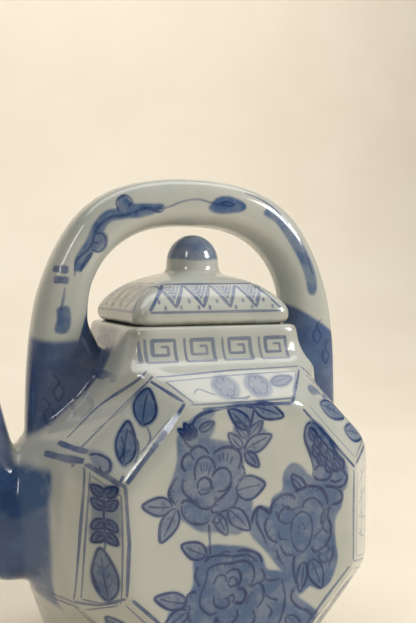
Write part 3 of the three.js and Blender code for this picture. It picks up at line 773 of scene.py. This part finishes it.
def paint_third_peony(p):
    """The lower flower, its leaves and the branch that carries all three."""
    p.wash([
        (-22.4, -10), (-17, -5.6), (-8, -6.6), (0, -8.4), (5.4, -12),
        (8, -18), (15, -20), (19.6, -23), (21, -30), (30, -38),
        (32, -42), (24, -46), (8, -45), (-8, -45.6), (-22, -43),
        (-31, -37), (-33, -30), (-27.6, -26), (-22.8, -20),
    ], 0.74, 0.9)
    p.leaf((-17.6, -8.6), (-28, -3.2), 6.6, 0.9, 0.66, veins=1)
    p.line([(-19, -8), (-17, -9.6), (-19, -11.4)], 0.9, 1.0)
    p.line([(-16.8, 4), (-16.4, -2), (-16.2, -9)], 0.8, 0.85)
    p.line([(-13, -8.6), (-9.6, -8), (-7, -9)], 0.6, 0.7)
    p.line([(-5, -8.6), (-1, -8.6), (4.6, -11), (6.4, -15)], 0.8, 0.85)
    p.line([
        (-20.6, -24), (-18, -19), (-16.8, -14), (-12, -12.6), (-7.6, -13), (-1.6, -12.8), (2, -15.4),
        (2.8, -20), (0.6, -24),
    ], 0.75, 0.85)
    p.line([(-15, -20.6), (-13, -17.4), (-10, -17.6), (-9, -21)], 0.65, 0.8)
    p.line([(-10, -17), (-7, -15.6), (-4, -16.4), (-3, -20), (-5, -23.4)], 0.75, 0.95)
    p.petals((-6.6, -20.6), (0.4, 2), 3, 0.6, ink=0.85, width=0.6)
    p.fringe([(-16.8, -14), (-12, -12.6), (-7.6, -13), (-1.6, -12.8), (2, -15.4)], -2.4, 9)
    p.fringe([(2.8, -16), (3, -20), (0.6, -24)], -2.2, 5)
    p.petal([(-21.4, -12), (-22.4, -16.4), (-20.4, -21)], 2.4, 5)
    p.petal([(-18.6, -9.6), (-12, -9.2), (-6, -10.4), (0, -10.6), (4.4, -14)], -2.2, 9, 0.7)
    p.petal([(5.6, -16), (7.4, -20.4), (5.4, -23)], -2, 4, 0.7)
    p.petal([(-27, -28), (-25.4, -23), (-21.6, -22)], -2.4, 5, 0.75)
    p.fringe([(-13.6, -33), (-12.4, -36.4), (-8, -37.4), (-4.6, -34.6)], 2.2, 6)
    p.fringe([(-5.6, -37.4), (-3, -40.4), (1.4, -39.4), (3, -36)], 2.4, 6)
    p.fringe([(-24.6, -27), (-25, -33), (-20.6, -37.6), (-15.4, -37)], 2.6, 7)
    p.line([
        (-14.6, -24), (-14.4, -28.4), (-11.4, -30.4), (-8.4, -29.6), (-8.6, -27), (-10.6, -26.6),
    ], 0.75, 0.9)
    p.line([(-8.6, -27), (-7, -25.6), (-5.8, -27.6), (-7.4, -29.4)], 0.7, 0.9)
    p.line([(-5, -23.4), (-2, -24), (-0.8, -27), (-3, -29.6), (-6, -28.8)], 0.95, 1.0)
    p.line([(-20, -22), (-20.4, -28), (-16.6, -32), (-13, -31.6)], 0.75, 0.85)
    for k in range(5):
        p.line([(0.6 - k * 0.7, -25.6 - k * 0.8), (2.6 - k * 0.5, -26.6 - k * 1.0)], 0.5, 0.8)
    p.line([(0.6, -24), (5, -22.6), (7, -26), (6.4, -30), (3.4, -33)], 0.75, 0.85)
    p.line([(-13.6, -33), (-12.4, -36.4), (-8, -37.4), (-4.6, -34.6), (-5, -31.4)], 0.8, 0.9)
    p.line([(-5.6, -37.4), (-3, -40.4), (1.4, -39.4), (3, -36), (2, -32.6)], 0.8, 0.9)
    p.line([(-24.6, -27), (-25, -33), (-20.6, -37.6), (-15.4, -37), (-13.4, -33)], 0.75, 0.85)
    p.line([(-16, -37.4), (-14, -41.8), (-8, -42.6), (-5, -39.4)], 0.75, 0.85)
    p.leaf((-25.6, -26.4), (-38.8, -22.2), 6.6, 0.9, 0.62, veins=2)
    p.leaf((-25.4, -29), (-35, -34.4), 6, 0.9, 0.62, veins=1)
    # Branch and the leaves between the two lower flowers
    p.line([(6.4, -20.6), (10, -22.4), (14.6, -22.2)], 0.75, 0.85)
    p.line([(7, -27), (10, -29.6), (14, -31)], 0.75, 0.85)
    p.line([(8, -31.4), (10.6, -35), (9, -38)], 0.7, 0.8)
    p.line([(20.6, -27), (19.4, -31), (22.4, -35), (27, -37.6), (30.6, -41.6), (31.4, -46)], 0.85, 0.9)
    p.line([(15, -22), (16.6, -30), (15, -38), (10, -47.6)], 0.7, 0.8)
    p.leaf((17, -38), (24.6, -45.4), 5, 0.85, 0.62)
    p.leaf((2, -41), (8.6, -47.6), 4.6, 0.85, 0.62)
    p.leaf((-20, -40), (-26, -46), 4.6, 0.85, 0.62)


def front_painting():
    p = Painting()
    paint_first_peony(p)
    paint_second_peony(p)
    paint_third_peony(p)
    paint_facets(p)
    paint_frames(p)
    return p


def neck_painting():
    """A squared spiral fret, one unit after another."""
    p = Painting()
    unit, low, high = 17.2, 65, 75.2
    p.line([(-38.6, low), (-36.4, low), (-36.4, high - 1.4)], 1.1, 0.62, curved=False)
    for k in range(4):
        x = -34 + k * unit
        path = [
            (x, high - 0.4), (x, low), (x + 12.8, low), (x + 12.8, high - 1.6), (x + 3, high - 1.6),
            (x + 3, low + 2.6), (x + 9.8, low + 2.6), (x + 9.8, high - 4.2), (x + 6.2, high - 4.2),
        ]
        p.line(path, 1.05, 0.66, curved=False)
    return p


def lid_painting():
    """The framed band on a sloping side: triangles with hatching and dots between."""
    p = Painting()
    p.line([(-31, 85), (31, 85.2)], 0.8, 0.7)
    p.line([(-21.6, 96.8), (21.6, 97.2)], 0.9, 0.85)
    p.line([(-31, 85.2), (-26, 91.6), (-21.4, 97)], 1.1, 0.95)
    p.line([(31, 85.4), (21.4, 97)], 0.9, 0.85)
    for k in range(4):
        x = -20.6 + k * 12.4
        for step in (0, 1.5, 3, 4.5):
            low = 88.6 + step * 1.1
            p.line([(x - 3.4 + step, 96.4), (x + 1.6 + step * 0.55, low)], 0.75, 0.75, curved=False)
            p.line([(x + 7.4 - step, 96.4), (x + 2 - step * 0.55, low)], 0.75, 0.75, curved=False)
        p.line([(x - 4.6, 96.6), (x + 1.8, 87.2), (x + 8, 96.6)], 0.9, 0.85, curved=False)
    for x, z in (
        (-26, 89.4), (-23.6, 86.8), (-16.6, 87), (-12.4, 89.6), (-8.6, 87), (0.4, 89.6), (-3.6, 87),
        (8.6, 87), (12.8, 89.8), (16.4, 87), (22.8, 90), (26.4, 87.2),
    ):
        p.line([(x - 1, z), (x + 1, z)], 1.5, 0.85)
    return p


def handle_painting():
    """A trailing vine along the front of the handle, a few short strokes and the edge line."""
    p = Painting()
    vine = [
        (-57, 100), (-56, 107), (-50, 113), (-47, 121), (-41, 126), (-33, 127.6),
        (-25, 130.4), (-16, 131), (-8, 134), (0, 135.4), (9, 133.6), (18, 132.8),
    ]
    p.line(vine, 0.8, 0.6)
    p.wash([
        (-56, 103), (-52, 106), (-46, 117), (-42, 124), (-34, 126.4), (-27, 127), (-20, 129.4), (-17, 132),
        (-24, 132), (-31, 132), (-34, 135.6), (-37, 134), (-37.4, 130), (-43, 128), (-48, 122.6),
        (-51, 116), (-56, 108),
    ], 0.72)
    p.wash([(-50, 112), (-44, 112), (-42.6, 117), (-46, 120), (-50, 117)], 0.66)
    p.wash([(6, 132), (10, 136), (16, 136.8), (23, 134), (22, 131.4), (14, 130), (8, 130.4)], 0.74)
    p.line([(9, 132.8), (14, 134.8), (19, 133.4)], 0.7, 0.7)
    p.wash([
        (34, 130), (40, 126.4), (46, 119), (52, 110), (56, 101), (58, 93), (61, 93), (61, 101), (57, 111),
        (50, 121), (42, 128.6), (36, 132),
    ], 0.66)
    p.line([(24, 139.6), (34, 136), (44, 128.6), (54, 115.6), (60, 101)], 0.8, 0.7)
    p.line([
        (-50, 112), (-46, 111), (-43, 114), (-44, 118.4), (-48, 118.6), (-48.6, 115.4), (-46, 114.6),
    ], 0.7, 0.75)
    p.line([(-37, 128), (-38, 133), (-34, 136), (-31, 133.6), (-33, 131)], 0.7, 0.7)
    p.line([(-31, 128), (-25, 130.6), (-18, 129.6), (-16, 132)], 1.0, 0.6)
    p.line([(-55, 102), (-52, 107), (-49, 111)], 1.1, 0.7)
    for side, x, z in ((-1, 71, 37), (-1, 67, 47), (1, 70, 58), (1, 65, 68)):
        curl = [(0, 12), (3, 8), (0.6, 4), (2.6, 0), (5, 3.6), (3.4, 7)]
        p.line([(side * (x - u), z + v) for u, v in curl], 0.7, 0.5)
    for z in (103.6, 99):
        p.line([(-66, z), (-59, z - 0.6)], 2.2, 0.85)
    p.line([(-61, 96), (-62, 90), (-63, 85)], 0.8, 0.6)
    p.wash([(-64, 86), (-60, 86.6), (-59.4, 80), (-61, 76.6), (-65, 77), (-64, 82)], 0.72)
    return p


def wall_strokes():
    """Strokes on the narrow walls, as points in the pot's own millimetres, on both halves."""
    strokes = []
    for half in (-1, 1):
        strokes += [
            ([(-71.5, 24 * half, 27), (-68, 40 * half, 28.4), (-63.6, 53 * half, 30)], 1.9, 0.9),
            ([(-69.6, 30 * half, 34), (-67, 42 * half, 34.6), (-63.6, 53 * half, 35.4)], 1.6, 0.9),
        ]
        for side in (-1, 1):
            wall = side * np.array([66, 71, 75.6, 77])
            for drop in (0, 2.6):
                levels = (-27.4 - drop, -28.6 - drop, -30 - drop, -31 - drop)
                depths = (51 * half, 42 * half, 22 * half, 2 * half)
                strokes.append((list(zip(wall, depths, levels)), 0.8, 0.75))
            for shift in (0, 4.6):
                strokes.append(([
                    (side * (74.2 - shift), 2 * half, -36 - shift),
                    (side * (69.6 - shift), 3 * half, -46 - shift),
                    (side * (65.2 - shift), 4 * half, -56 - shift * 0.4),
                ], 0.8, 0.7))
    return strokes


PAINTINGS = {
    "front": front_painting(),
    "neck": neck_painting(),
    "lid": lid_painting(),
    "handle": handle_painting(),
}


# ---- Laying the brushwork on the clay ----
def sheet_to_rays(turns):
    """Rays from outside towards the pot, for a sheet turned by quarter turns about Z."""
    angle = turns * math.pi / 2
    c, s = round(math.cos(angle)), round(math.sin(angle))
    turn = np.array([[c, -s, 0], [s, c, 0], [0, 0, 1]], float)

    def rays(points):
        starts = np.stack([points[:, 0], np.full(len(points), -150.0), points[:, 1]], 1) @ turn.T
        return to_row(starts), Vector(turn @ (0, 1, 0))

    return rays


def stroke_points(points, curved):
    length = np.hypot(*np.diff(points, axis=0).T).sum()
    count = max(3, int(length / STROKE_STEP) + 1)
    if curved and len(points) > 2:
        return spline(points, count)
    along = np.concatenate([[0], np.cumsum(np.hypot(*np.diff(points, axis=0).T))])
    at = np.unique(np.concatenate([np.linspace(0, along[-1], count), along]))
    return np.stack([np.interp(at, along, points[:, k]) for k in range(2)], 1)


class Surface:
    """The clay surface's pigment fields and smooth normals, for the strokes laid on it."""

    def __init__(self, piece):
        self.mesh = piece.data
        self.tree = BVHTree.FromObject(piece, bpy.context.evaluated_depsgraph_get())
        self.places = coordinates(self.mesh)
        self.fields = np.stack([field_values(self.mesh, name) for name in FIELDS], 1)
        self.normals = vertex_normals(self.mesh)

    def under(self, hits):
        """Places, unit normals and pigment at the hits, nearer vertices counting for more."""
        rows = []
        for place, _, face, _ in hits:
            corners = list(self.mesh.polygons[face].vertices)
            weights = 1 / (np.linalg.norm(self.places[corners] - place, axis=1) + 0.05 * MM)
            weights /= weights.sum()
            normal, pigment = weights @ self.normals[corners], weights @ self.fields[corners]
            rows.append(np.concatenate([place, normal, pigment]))
        rows = np.array(rows)
        normals = rows[:, 3:6] / np.linalg.norm(rows[:, 3:6], axis=1)[:, None]
        return rows[:, :3], normals, rows[:, 6:]


def ribbon(surface, hits, width, ink):
    """Rows of four vertices across a brush stroke, each with its ink, the pigment under it and its normal."""
    places, normals, pigment = surface.under(hits)
    sides = np.cross(normals, np.gradient(places, axis=0))
    sides /= np.maximum(np.linalg.norm(sides, axis=1), 1e-12)[:, None]
    share = np.linspace(0, 1, len(places))
    swell = 0.5 + 0.5 * np.sin(math.pi * share) ** 0.35
    swell *= 1 + 0.12 * np.sin(share * 9 + rng.uniform(0, 6)) + rng.normal(0, 0.03, len(places))
    half = (width * STROKE_GROWTH * MM / 2 * swell)[:, None]
    strength = ink * (0.9 + 0.1 * np.sin(share * 5 + rng.uniform(0, 6)))
    strength[[0, -1]] = 0
    lift = normals * STROKE_LIFT * MM * (1 + 0.3 * rng.random())
    rim, core = normals * STROKE_RIM * MM, sides * half * STROKE_CORE
    edge = sides * half
    rows = np.stack([places - edge + rim, places - core + lift, places + core + lift, places + edge + rim], 1)
    nothing = np.zeros(len(places))
    inks = np.stack([nothing, strength, strength, nothing], 1)
    return rows, inks, np.repeat(pigment[:, None], 4, 1), np.repeat(normals[:, None], 4, 1)


def lay_strokes(name, layers, piece, wall_strokes=()):
    """One mesh of low brush ribbons that follow the surface. layers are (painting, turns) pairs."""
    surface = Surface(piece)
    ribbons = []
    for painting, turns in layers:
        rays = sheet_to_rays(turns)
        for points, width, ink, curved in painting.strokes:
            track = stroke_points(points, curved)
            starts, direction = rays(track)
            hits = [surface.tree.ray_cast(Vector(start), direction) for start in starts]
            hits = [hit for hit in hits if hit[0] is not None]
            if len(hits) > 2:
                ribbons.append(ribbon(surface, hits, width, ink))
    for points, width, ink in wall_strokes:
        length = np.linalg.norm(np.diff(points, axis=0), axis=1).sum()
        track = spline(points, max(4, int(length / STROKE_STEP)))
        hits = [surface.tree.find_nearest(Vector(point)) for point in to_row(track)]
        ribbons.append(ribbon(surface, hits, width, ink))
    faces, start = [], 0
    for rows, *_ in ribbons:
        for k in range(len(rows) - 1):
            a = start + 4 * k
            faces += [(a + j, a + j + 4, a + j + 5, a + j + 1) for j in range(3)]
        start += 4 * len(rows)
    mesh = bpy.data.meshes.new(name)
    mesh.from_pydata(np.concatenate([r[0].reshape(-1, 3) for r in ribbons]).tolist(), [], faces)
    set_attribute(mesh, "ink", np.concatenate([r[1].ravel() for r in ribbons]))
    for k, field in enumerate(FIELDS):
        set_attribute(mesh, field, np.concatenate([r[2][..., k].ravel() for r in ribbons]))
    mesh.shade_smooth()
    normals = np.concatenate([r[3].reshape(-1, 3) for r in ribbons])
    mesh.normals_split_custom_set_from_vertices(normals.tolist())
    lines = bpy.data.objects.new(name, mesh)
    bpy.context.scene.collection.objects.link(lines)
    return lines


def refine(mesh, pigment):
    """Splits the faces across which the pigment changes."""
    work = bmesh.new()
    work.from_mesh(mesh)
    work.verts.ensure_lookup_table()
    edges = set()
    for face in work.faces:
        levels = [pigment[v.index] for v in face.verts]
        if max(levels) - min(levels) > WASH_EDGE_STEP:
            edges.update(face.edges)
    bmesh.ops.subdivide_edges(work, edges=list(edges), cuts=1, use_grid_fill=True)
    work.to_mesh(mesh)
    work.free()


def set_attribute(mesh, name, values):
    field = mesh.attributes.new(name, "FLOAT", "POINT")
    field.data.foreach_set("value", np.asarray(values, np.float32))


def field_values(mesh, name):
    values = np.empty(len(mesh.vertices), np.float32)
    mesh.attributes[name].data.foreach_get("value", values)
    return values.astype(float)


def vertex_normals(mesh):
    flat = np.empty(len(mesh.vertices) * 3, np.float32)
    mesh.vertex_normals.foreach_get("vector", flat)
    return flat.reshape(-1, 3).astype(float)


def painted_washes(spot, normal):
    """The washes of the facets, the panels and the handle's vine, on the front and on the back."""
    x, y, z = spot.T
    wash = np.zeros(len(spot))
    for sign in (-1, 1):
        sheet = np.stack([x * -sign, z], 1)
        body = (z < 62) & (np.abs(y) > 44) & (y * sign > 0) & (normal[:, 1] * sign > 0.05)
        wash[body] = PAINTINGS["front"].wash_at(sheet[body])
    for sign in (-1, 1):
        sheet = np.stack([x * -sign, z], 1)
        handle = (z > 70) & (np.abs(y) > 6) & (y * sign > 0) & (np.hypot(x, z - 70) > 46)
        wash[handle] = PAINTINGS["handle"].wash_at(sheet[handle])
    return wash


def collar_wash(x, y, z):
    """The wash round the spout's collar, which ends in a soft wavering edge on the body's wall."""
    edge = -66 + 2.2 * np.sin(z / 7) + 0.004 * (z + 4) ** 2
    collar = smoothstep(edge + 1.5, edge - 1.5, x - 0.12 * np.abs(y))
    collar = collar * smoothstep(24, 19, z) * smoothstep(-37, -33, z)
    return 0.85 * collar * smoothstep(36, 31, np.abs(y))


def dark_spout(x, z):
    """The spout is solid blue beyond its joint with the collar."""
    return smoothstep(1.0, -1.6, (x + 83.5) * 0.9 + (z - 28) * 0.06) * 0.9


def dark_roots(spot):
    """The handle's roots are dark below a line that climbs inwards, and so is the neck's wall beside them."""
    x, y, z = spot.T
    left_line = 65.5 + 24 * smoothstep(60, 47, -x)
    right_line = 71 + (76 - x) * 0.6
    root_line = np.where(x < 0, left_line, right_line)
    on_root = (np.abs(x) > 36) * smoothstep(17, 15, np.abs(y)) * smoothstep(26, 33, z - 0.3 * np.abs(y))
    on_root = on_root * clear_of_flask(spot)
    root = 0.95 * on_root * smoothstep(root_line + 1.2, root_line - 1.2, z)
    beside = smoothstep(16, 13, np.abs(y)) * smoothstep(34, 36.5, np.abs(x))
    beside = beside * smoothstep(77, 74, z + 0.25 * np.abs(y))
    return np.maximum(root, 0.9 * beside * smoothstep(52, 58, z))


def pot_washes(mesh):
    """Wash, dark pigment and stain over the pot."""
    spot = to_pot(coordinates(mesh))
    x, y, z = spot.T
    wash = np.maximum(painted_washes(spot, vertex_normals(mesh)), collar_wash(x, y, z))
    dark = np.maximum(dark_spout(x, z), dark_roots(spot))
    corner = np.minimum(np.abs(x), np.abs(y))
    stain = smoothstep(28, 38, corner) * smoothstep(70, 79, z) + 0.5 * smoothstep(-66, -75, z)
    return wash, dark, stain


def clear_of_flask(spot):
    """0 on the flask and the neck, rising to 1 just outside them."""
    depth = np.clip(np.abs(spot[:, 1]) / SHOULDER_Y, 0, 1) ** BULGE
    x, z = np.abs(spot[:, 0]), spot[:, 2]
    width = MIDDLE["width"] + (SHOULDER["width"] - MIDDLE["width"]) * depth
    side = MIDDLE["side"] + (SHOULDER["side"] - MIDDLE["side"]) * depth
    top = MIDDLE["top"] + (SHOULDER["top"] - MIDDLE["top"]) * depth
    top_z = MIDDLE["top_z"] + (SHOULDER["top_z"] - MIDDLE["top_z"]) * depth
    slope = np.hypot(top_z - side, width - top)
    facet = ((x - width) * (top_z - side) + (z - side) * (width - top)) / slope
    sections = np.array(NECK_SECTIONS)
    neck = x - np.interp(z, sections[:, 0], sections[:, 1])
    return smoothstep(0, 1.6, np.maximum(facet, x - width)) * smoothstep(-0.6, 0.6, neck)


def lid_washes(mesh):
    spot = to_pot(coordinates(mesh))
    x, y, z = spot.T
    knob = np.hypot(x - KNOB_X, y)
    wash = 0.6 * smoothstep(107.2, 108.8, z + 0.5 * np.sin(np.arctan2(y, x) * 3)) * (knob < 15)
    corner = np.minimum(np.abs(x), np.abs(y))
    stain = smoothstep(28, 35, corner) * smoothstep(90, 84, z) + 0.7 * smoothstep(82, 80, z)
    return wash, np.zeros(len(x)), stain


# ======================= Materials =======================
def srgb(red, green, blue):
    """A colour as the eye names it, 0 to 255, in the renderer's linear light."""
    def channel(v):
        v /= 255
        return v / 12.92 if v <= 0.04045 else ((v + 0.055) / 1.055) ** 2.4
    return (channel(red), channel(green), channel(blue), 1.0)


class Nodes:
    """Short calls for building one material's node tree."""

    def __init__(self, name):
        self.material = bpy.data.materials.new(name)
        self.material.use_nodes = True
        self.tree = self.material.node_tree
        self.shader = self.tree.nodes["Principled BSDF"]
        self.place = self.tree.nodes.new("ShaderNodeTexCoord").outputs["Object"]

    def node(self, kind, **values):
        made = self.tree.nodes.new(kind)
        for key, value in values.items():
            setattr(made, key, value)
        return made

    def link(self, source, target):
        if isinstance(source, (int, float, tuple)):
            target.default_value = source
        else:
            self.tree.links.new(source, target)

    def math(self, operation, a, b=0.0, clamp=False):
        made = self.node("ShaderNodeMath", operation=operation, use_clamp=clamp)
        self.link(a, made.inputs[0])
        self.link(b, made.inputs[1])
        return made.outputs[0]

    def mix(self, share, a, b):
        made = self.node("ShaderNodeMix", data_type="RGBA")
        self.link(share, made.inputs["Factor"])
        self.link(a, made.inputs[6])
        self.link(b, made.inputs[7])
        return made.outputs[2]

    def tint(self, share, under, pigment):
        """A transparent layer: what lies under it is multiplied by the pigment's colour."""
        made = self.node("ShaderNodeMix", data_type="RGBA", blend_type="MULTIPLY")
        self.link(share, made.inputs["Factor"])
        self.link(under, made.inputs[6])
        self.link(pigment, made.inputs[7])
        return made.outputs[2]

    def noise(self, per_metre, detail=3.0, roughness=0.55):
        made = self.node("ShaderNodeTexNoise")
        self.link(self.place, made.inputs["Vector"])
        made.inputs["Scale"].default_value = per_metre
        made.inputs["Detail"].default_value = detail
        made.inputs["Roughness"].default_value = roughness
        return made.outputs["Fac"]

    def ramp(self, value, low, high, out_low=0.0, out_high=1.0):
        made = self.node("ShaderNodeMapRange", interpolation_type="SMOOTHSTEP")
        self.link(value, made.inputs["Value"])
        for key, number in (
            ("From Min", low), ("From Max", high), ("To Min", out_low), ("To Max", out_high),
        ):
            made.inputs[key].default_value = number
        return made.outputs["Result"]

    def attribute(self, name):
        return self.node("ShaderNodeAttribute", attribute_name=name).outputs["Fac"]

    def bump(self, height, strength, distance_mm):
        made = self.node("ShaderNodeBump")
        self.link(height, made.inputs["Height"])
        made.inputs["Strength"].default_value = strength
        made.inputs["Distance"].default_value = distance_mm * MM
        return made.outputs["Normal"]

    def finish(self, **inputs):
        for key, value in inputs.items():
            self.link(value, self.shader.inputs[key.replace("_", " ")])
        return self.material


def painted_glaze():
    """Cobalt brushwork and washes under a clear, faintly green glaze."""
    n = Nodes("painted_glaze")
    cloud, grain, streak = n.noise(38), n.noise(420, 2), n.noise(130, 4, 0.6)
    clay = n.mix(n.ramp(cloud, 0.35, 0.7), srgb(188, 189, 180), srgb(178, 181, 172))
    clay = n.mix(n.ramp(streak, 0.62, 0.75, 0, 0.25), clay, srgb(190, 186, 165))
    stain = n.math("MULTIPLY", n.attribute("stain"), n.ramp(streak, 0.4, 0.65), clamp=True)
    clay = n.mix(n.math("MULTIPLY", stain, 0.65), clay, srgb(120, 100, 72))
    pool = n.ramp(streak, 0.3, 0.75, 0.78, 1.12)
    wash = n.math("MULTIPLY", n.attribute("wash"), n.math("MULTIPLY", pool, WASH_GAIN), clamp=True)
    washed = n.tint(wash, clay, WASH_PIGMENT)
    dark = n.math("MULTIPLY", n.attribute("dark"), n.ramp(cloud, 0.3, 0.7, 0.86, 1.0), clamp=True)
    washed = n.mix(dark, washed, n.mix(n.ramp(streak, 0.35, 0.7), srgb(34, 62, 112), srgb(54, 86, 132)))
    ink = n.math("MULTIPLY", n.attribute("ink"), n.ramp(streak, 0.25, 0.6, 0.82, 1.0), clamp=True)
    painted = n.tint(ink, washed, n.mix(n.ramp(grain, 0.3, 0.7), INK_PIGMENT, INK_PIGMENT_THIN))
    normal = n.bump(n.math("ADD", cloud, n.math("MULTIPLY", grain, 0.06)), 0.25, 0.5)
    rough = n.ramp(grain, 0.3, 0.7, 0.12, 0.2)
    n.shader.inputs["Coat Weight"].default_value = 0.25
    n.shader.inputs["Coat Roughness"].default_value = 0.04
    n.shader.inputs["Specular IOR Level"].default_value = 0.5
    return n.finish(Base_Color=painted, Roughness=rough, Normal=normal)


def bare_biscuit():
    """The foot's unglazed rim: fired clay, toasted and a little worn."""
    n = Nodes("bare_biscuit")
    cloud, grit = n.noise(90, 4), n.noise(1400, 3, 0.7)
    colour = n.mix(n.ramp(cloud, 0.35, 0.7), srgb(196, 180, 152), srgb(150, 120, 86))
    colour = n.mix(n.ramp(grit, 0.58, 0.7, 0, 0.5), colour, srgb(110, 92, 72))
    normal = n.bump(grit, 0.5, 0.15)
    return n.finish(Base_Color=colour, Roughness=n.ramp(grit, 0.3, 0.7, 0.7, 0.9), Normal=normal)


def studio_paper():
    n = Nodes("studio_paper")
    cloud = n.noise(6, 2)
    colour = n.mix(n.ramp(cloud, 0.3, 0.7), srgb(244, 235, 218), srgb(241, 231, 213))
    return n.finish(Base_Color=colour, Roughness=0.9)


# ======================= Scene =======================
def add_camera():
    data = bpy.data.cameras.new("camera")
    data.lens, data.sensor_width, data.clip_start = CAMERA_LENS, CAMERA_SENSOR, CAMERA_NEAR
    camera = bpy.data.objects.new("camera", data)
    bpy.context.scene.collection.objects.link(camera)
    level = math.cos(CAMERA_PITCH)
    ahead, right = math.cos(CAMERA_YAW) * level, -math.sin(CAMERA_YAW) * level
    look = Vector((right, ahead, math.sin(CAMERA_PITCH)))
    camera.location = Vector(to_row(CAMERA_PLACE))
    camera.rotation_euler = look.to_track_quat("-Z", "Y").to_euler()
    bpy.context.scene.camera = camera


def add_area(name, place, target, size, power, colour):
    data = bpy.data.lights.new(name, "AREA")
    data.shape, data.size, data.size_y = "RECTANGLE", size[0], size[1]
    data.energy, data.color = power, colour
    lamp = bpy.data.objects.new(name, data)
    bpy.context.scene.collection.objects.link(lamp)
    lamp.location = place
    lamp.rotation_euler = (Vector(target) - Vector(place)).to_track_quat("-Z", "Y").to_euler()


def add_lights():
    middle = (cad_low + cad_high) / 2
    add_area("window", (0.75, -0.55, 0.62), middle, size=(0.3, 0.36), power=7.6, colour=(1.0, 0.985, 0.96))
    add_area("sky_fill", (-0.9, -0.8, 0.9), middle, size=(0.16, 0.5), power=3.4, colour=(0.97, 0.98, 1.0))
    wall, over_wall = (0.1, 0.9, 0.3), (0.1, 0.25, 1.3)
    add_area("backdrop_wash", over_wall, wall, size=(1.6, 0.8), power=10.5, colour=(1.0, 0.985, 0.965))
    world = bpy.data.worlds.new("studio")
    world.use_nodes = True
    world.node_tree.nodes["Background"].inputs["Color"].default_value = srgb(240, 238, 234)
    world.node_tree.nodes["Background"].inputs["Strength"].default_value = 0.14
    bpy.context.scene.world = world
    bpy.context.scene.view_settings.view_transform = "Standard"


def add_sweep():
    """A pale paper floor that curves up into the wall behind."""
    angles = np.linspace(0.1, math.pi / 2, SWEEP_BEND_STEPS)
    bend = [(SWEEP_BEND_Y + SWEEP_BEND * math.sin(a), SWEEP_BEND - SWEEP_BEND * math.cos(a)) for a in angles]
    profile = [(SWEEP_FRONT_Y, 0), (SWEEP_BEND_Y, 0), *bend, (SWEEP_BEND_Y + SWEEP_BEND, SWEEP_TOP_Z)]
    vertices = [(x, y, z) for x in (-SWEEP_HALF_WIDTH, SWEEP_HALF_WIDTH) for y, z in profile]
    count = len(profile)
    faces = [(i, i + 1, count + i + 1, count + i) for i in range(count - 1)]
    mesh = bpy.data.meshes.new("paper_sweep")
    mesh.from_pydata(vertices, [], faces)
    mesh.shade_smooth()
    mesh.materials.append(studio_paper())
    sweep = bpy.data.objects.new("paper_sweep", mesh)
    bpy.context.scene.collection.objects.link(sweep)


def finish_piece(piece, body, nodes, materials):
    piece.data.materials.clear()
    for material in materials:
        piece.data.materials.append(material)
    piece.data.shade_smooth()
    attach(piece, body)
    if nodes:
        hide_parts(*nodes)


def dress(piece, field_of):
    """Stores the pigment fields, on a mesh made finer where the amount of pigment changes."""
    for _ in range(WASH_REFINEMENTS):
        refine(piece.data, np.maximum(*field_of(piece.data)[:2]))
    fields = field_of(piece.data)
    for name, values in zip(FIELDS, fields):
        set_attribute(piece.data, name, values)


def bare_foot(mesh):
    """The rim that stands on the table has no glaze on it."""
    middles = np.empty(len(mesh.polygons) * 3, np.float32)
    mesh.polygons.foreach_get("center", middles)
    height = to_pot(middles.reshape(-1, 3))[:, 2]
    mesh.polygons.foreach_set("material_index", (height < BARE_EDGE_Z).astype(np.int32))


add_camera()
add_lights()
add_sweep()

glaze, biscuit = painted_glaze(), bare_biscuit()
pot, lid = make_pot(), make_lid()
dress(pot, pot_washes)
dress(lid, lid_washes)
pot_layers = [(PAINTINGS[name], turns) for name in ("front", "handle", "neck") for turns in (0, 2)]
pot_lines = lay_strokes("pot_brush_lines", pot_layers, pot, wall_strokes())
lid_lines = lay_strokes("lid_brush_lines", [(PAINTINGS["lid"], turns) for turns in range(4)], lid)

behaviour = frame["record"]["behaviour"]["bodies"]
finish_piece(pot, "pot", behaviour["pot"], [glaze, biscuit])
bare_foot(pot.data)
finish_piece(lid, "lid", behaviour["lid"], [glaze])
finish_piece(pot_lines, "pot", [], [glaze])
finish_piece(lid_lines, "lid", [], [glaze])
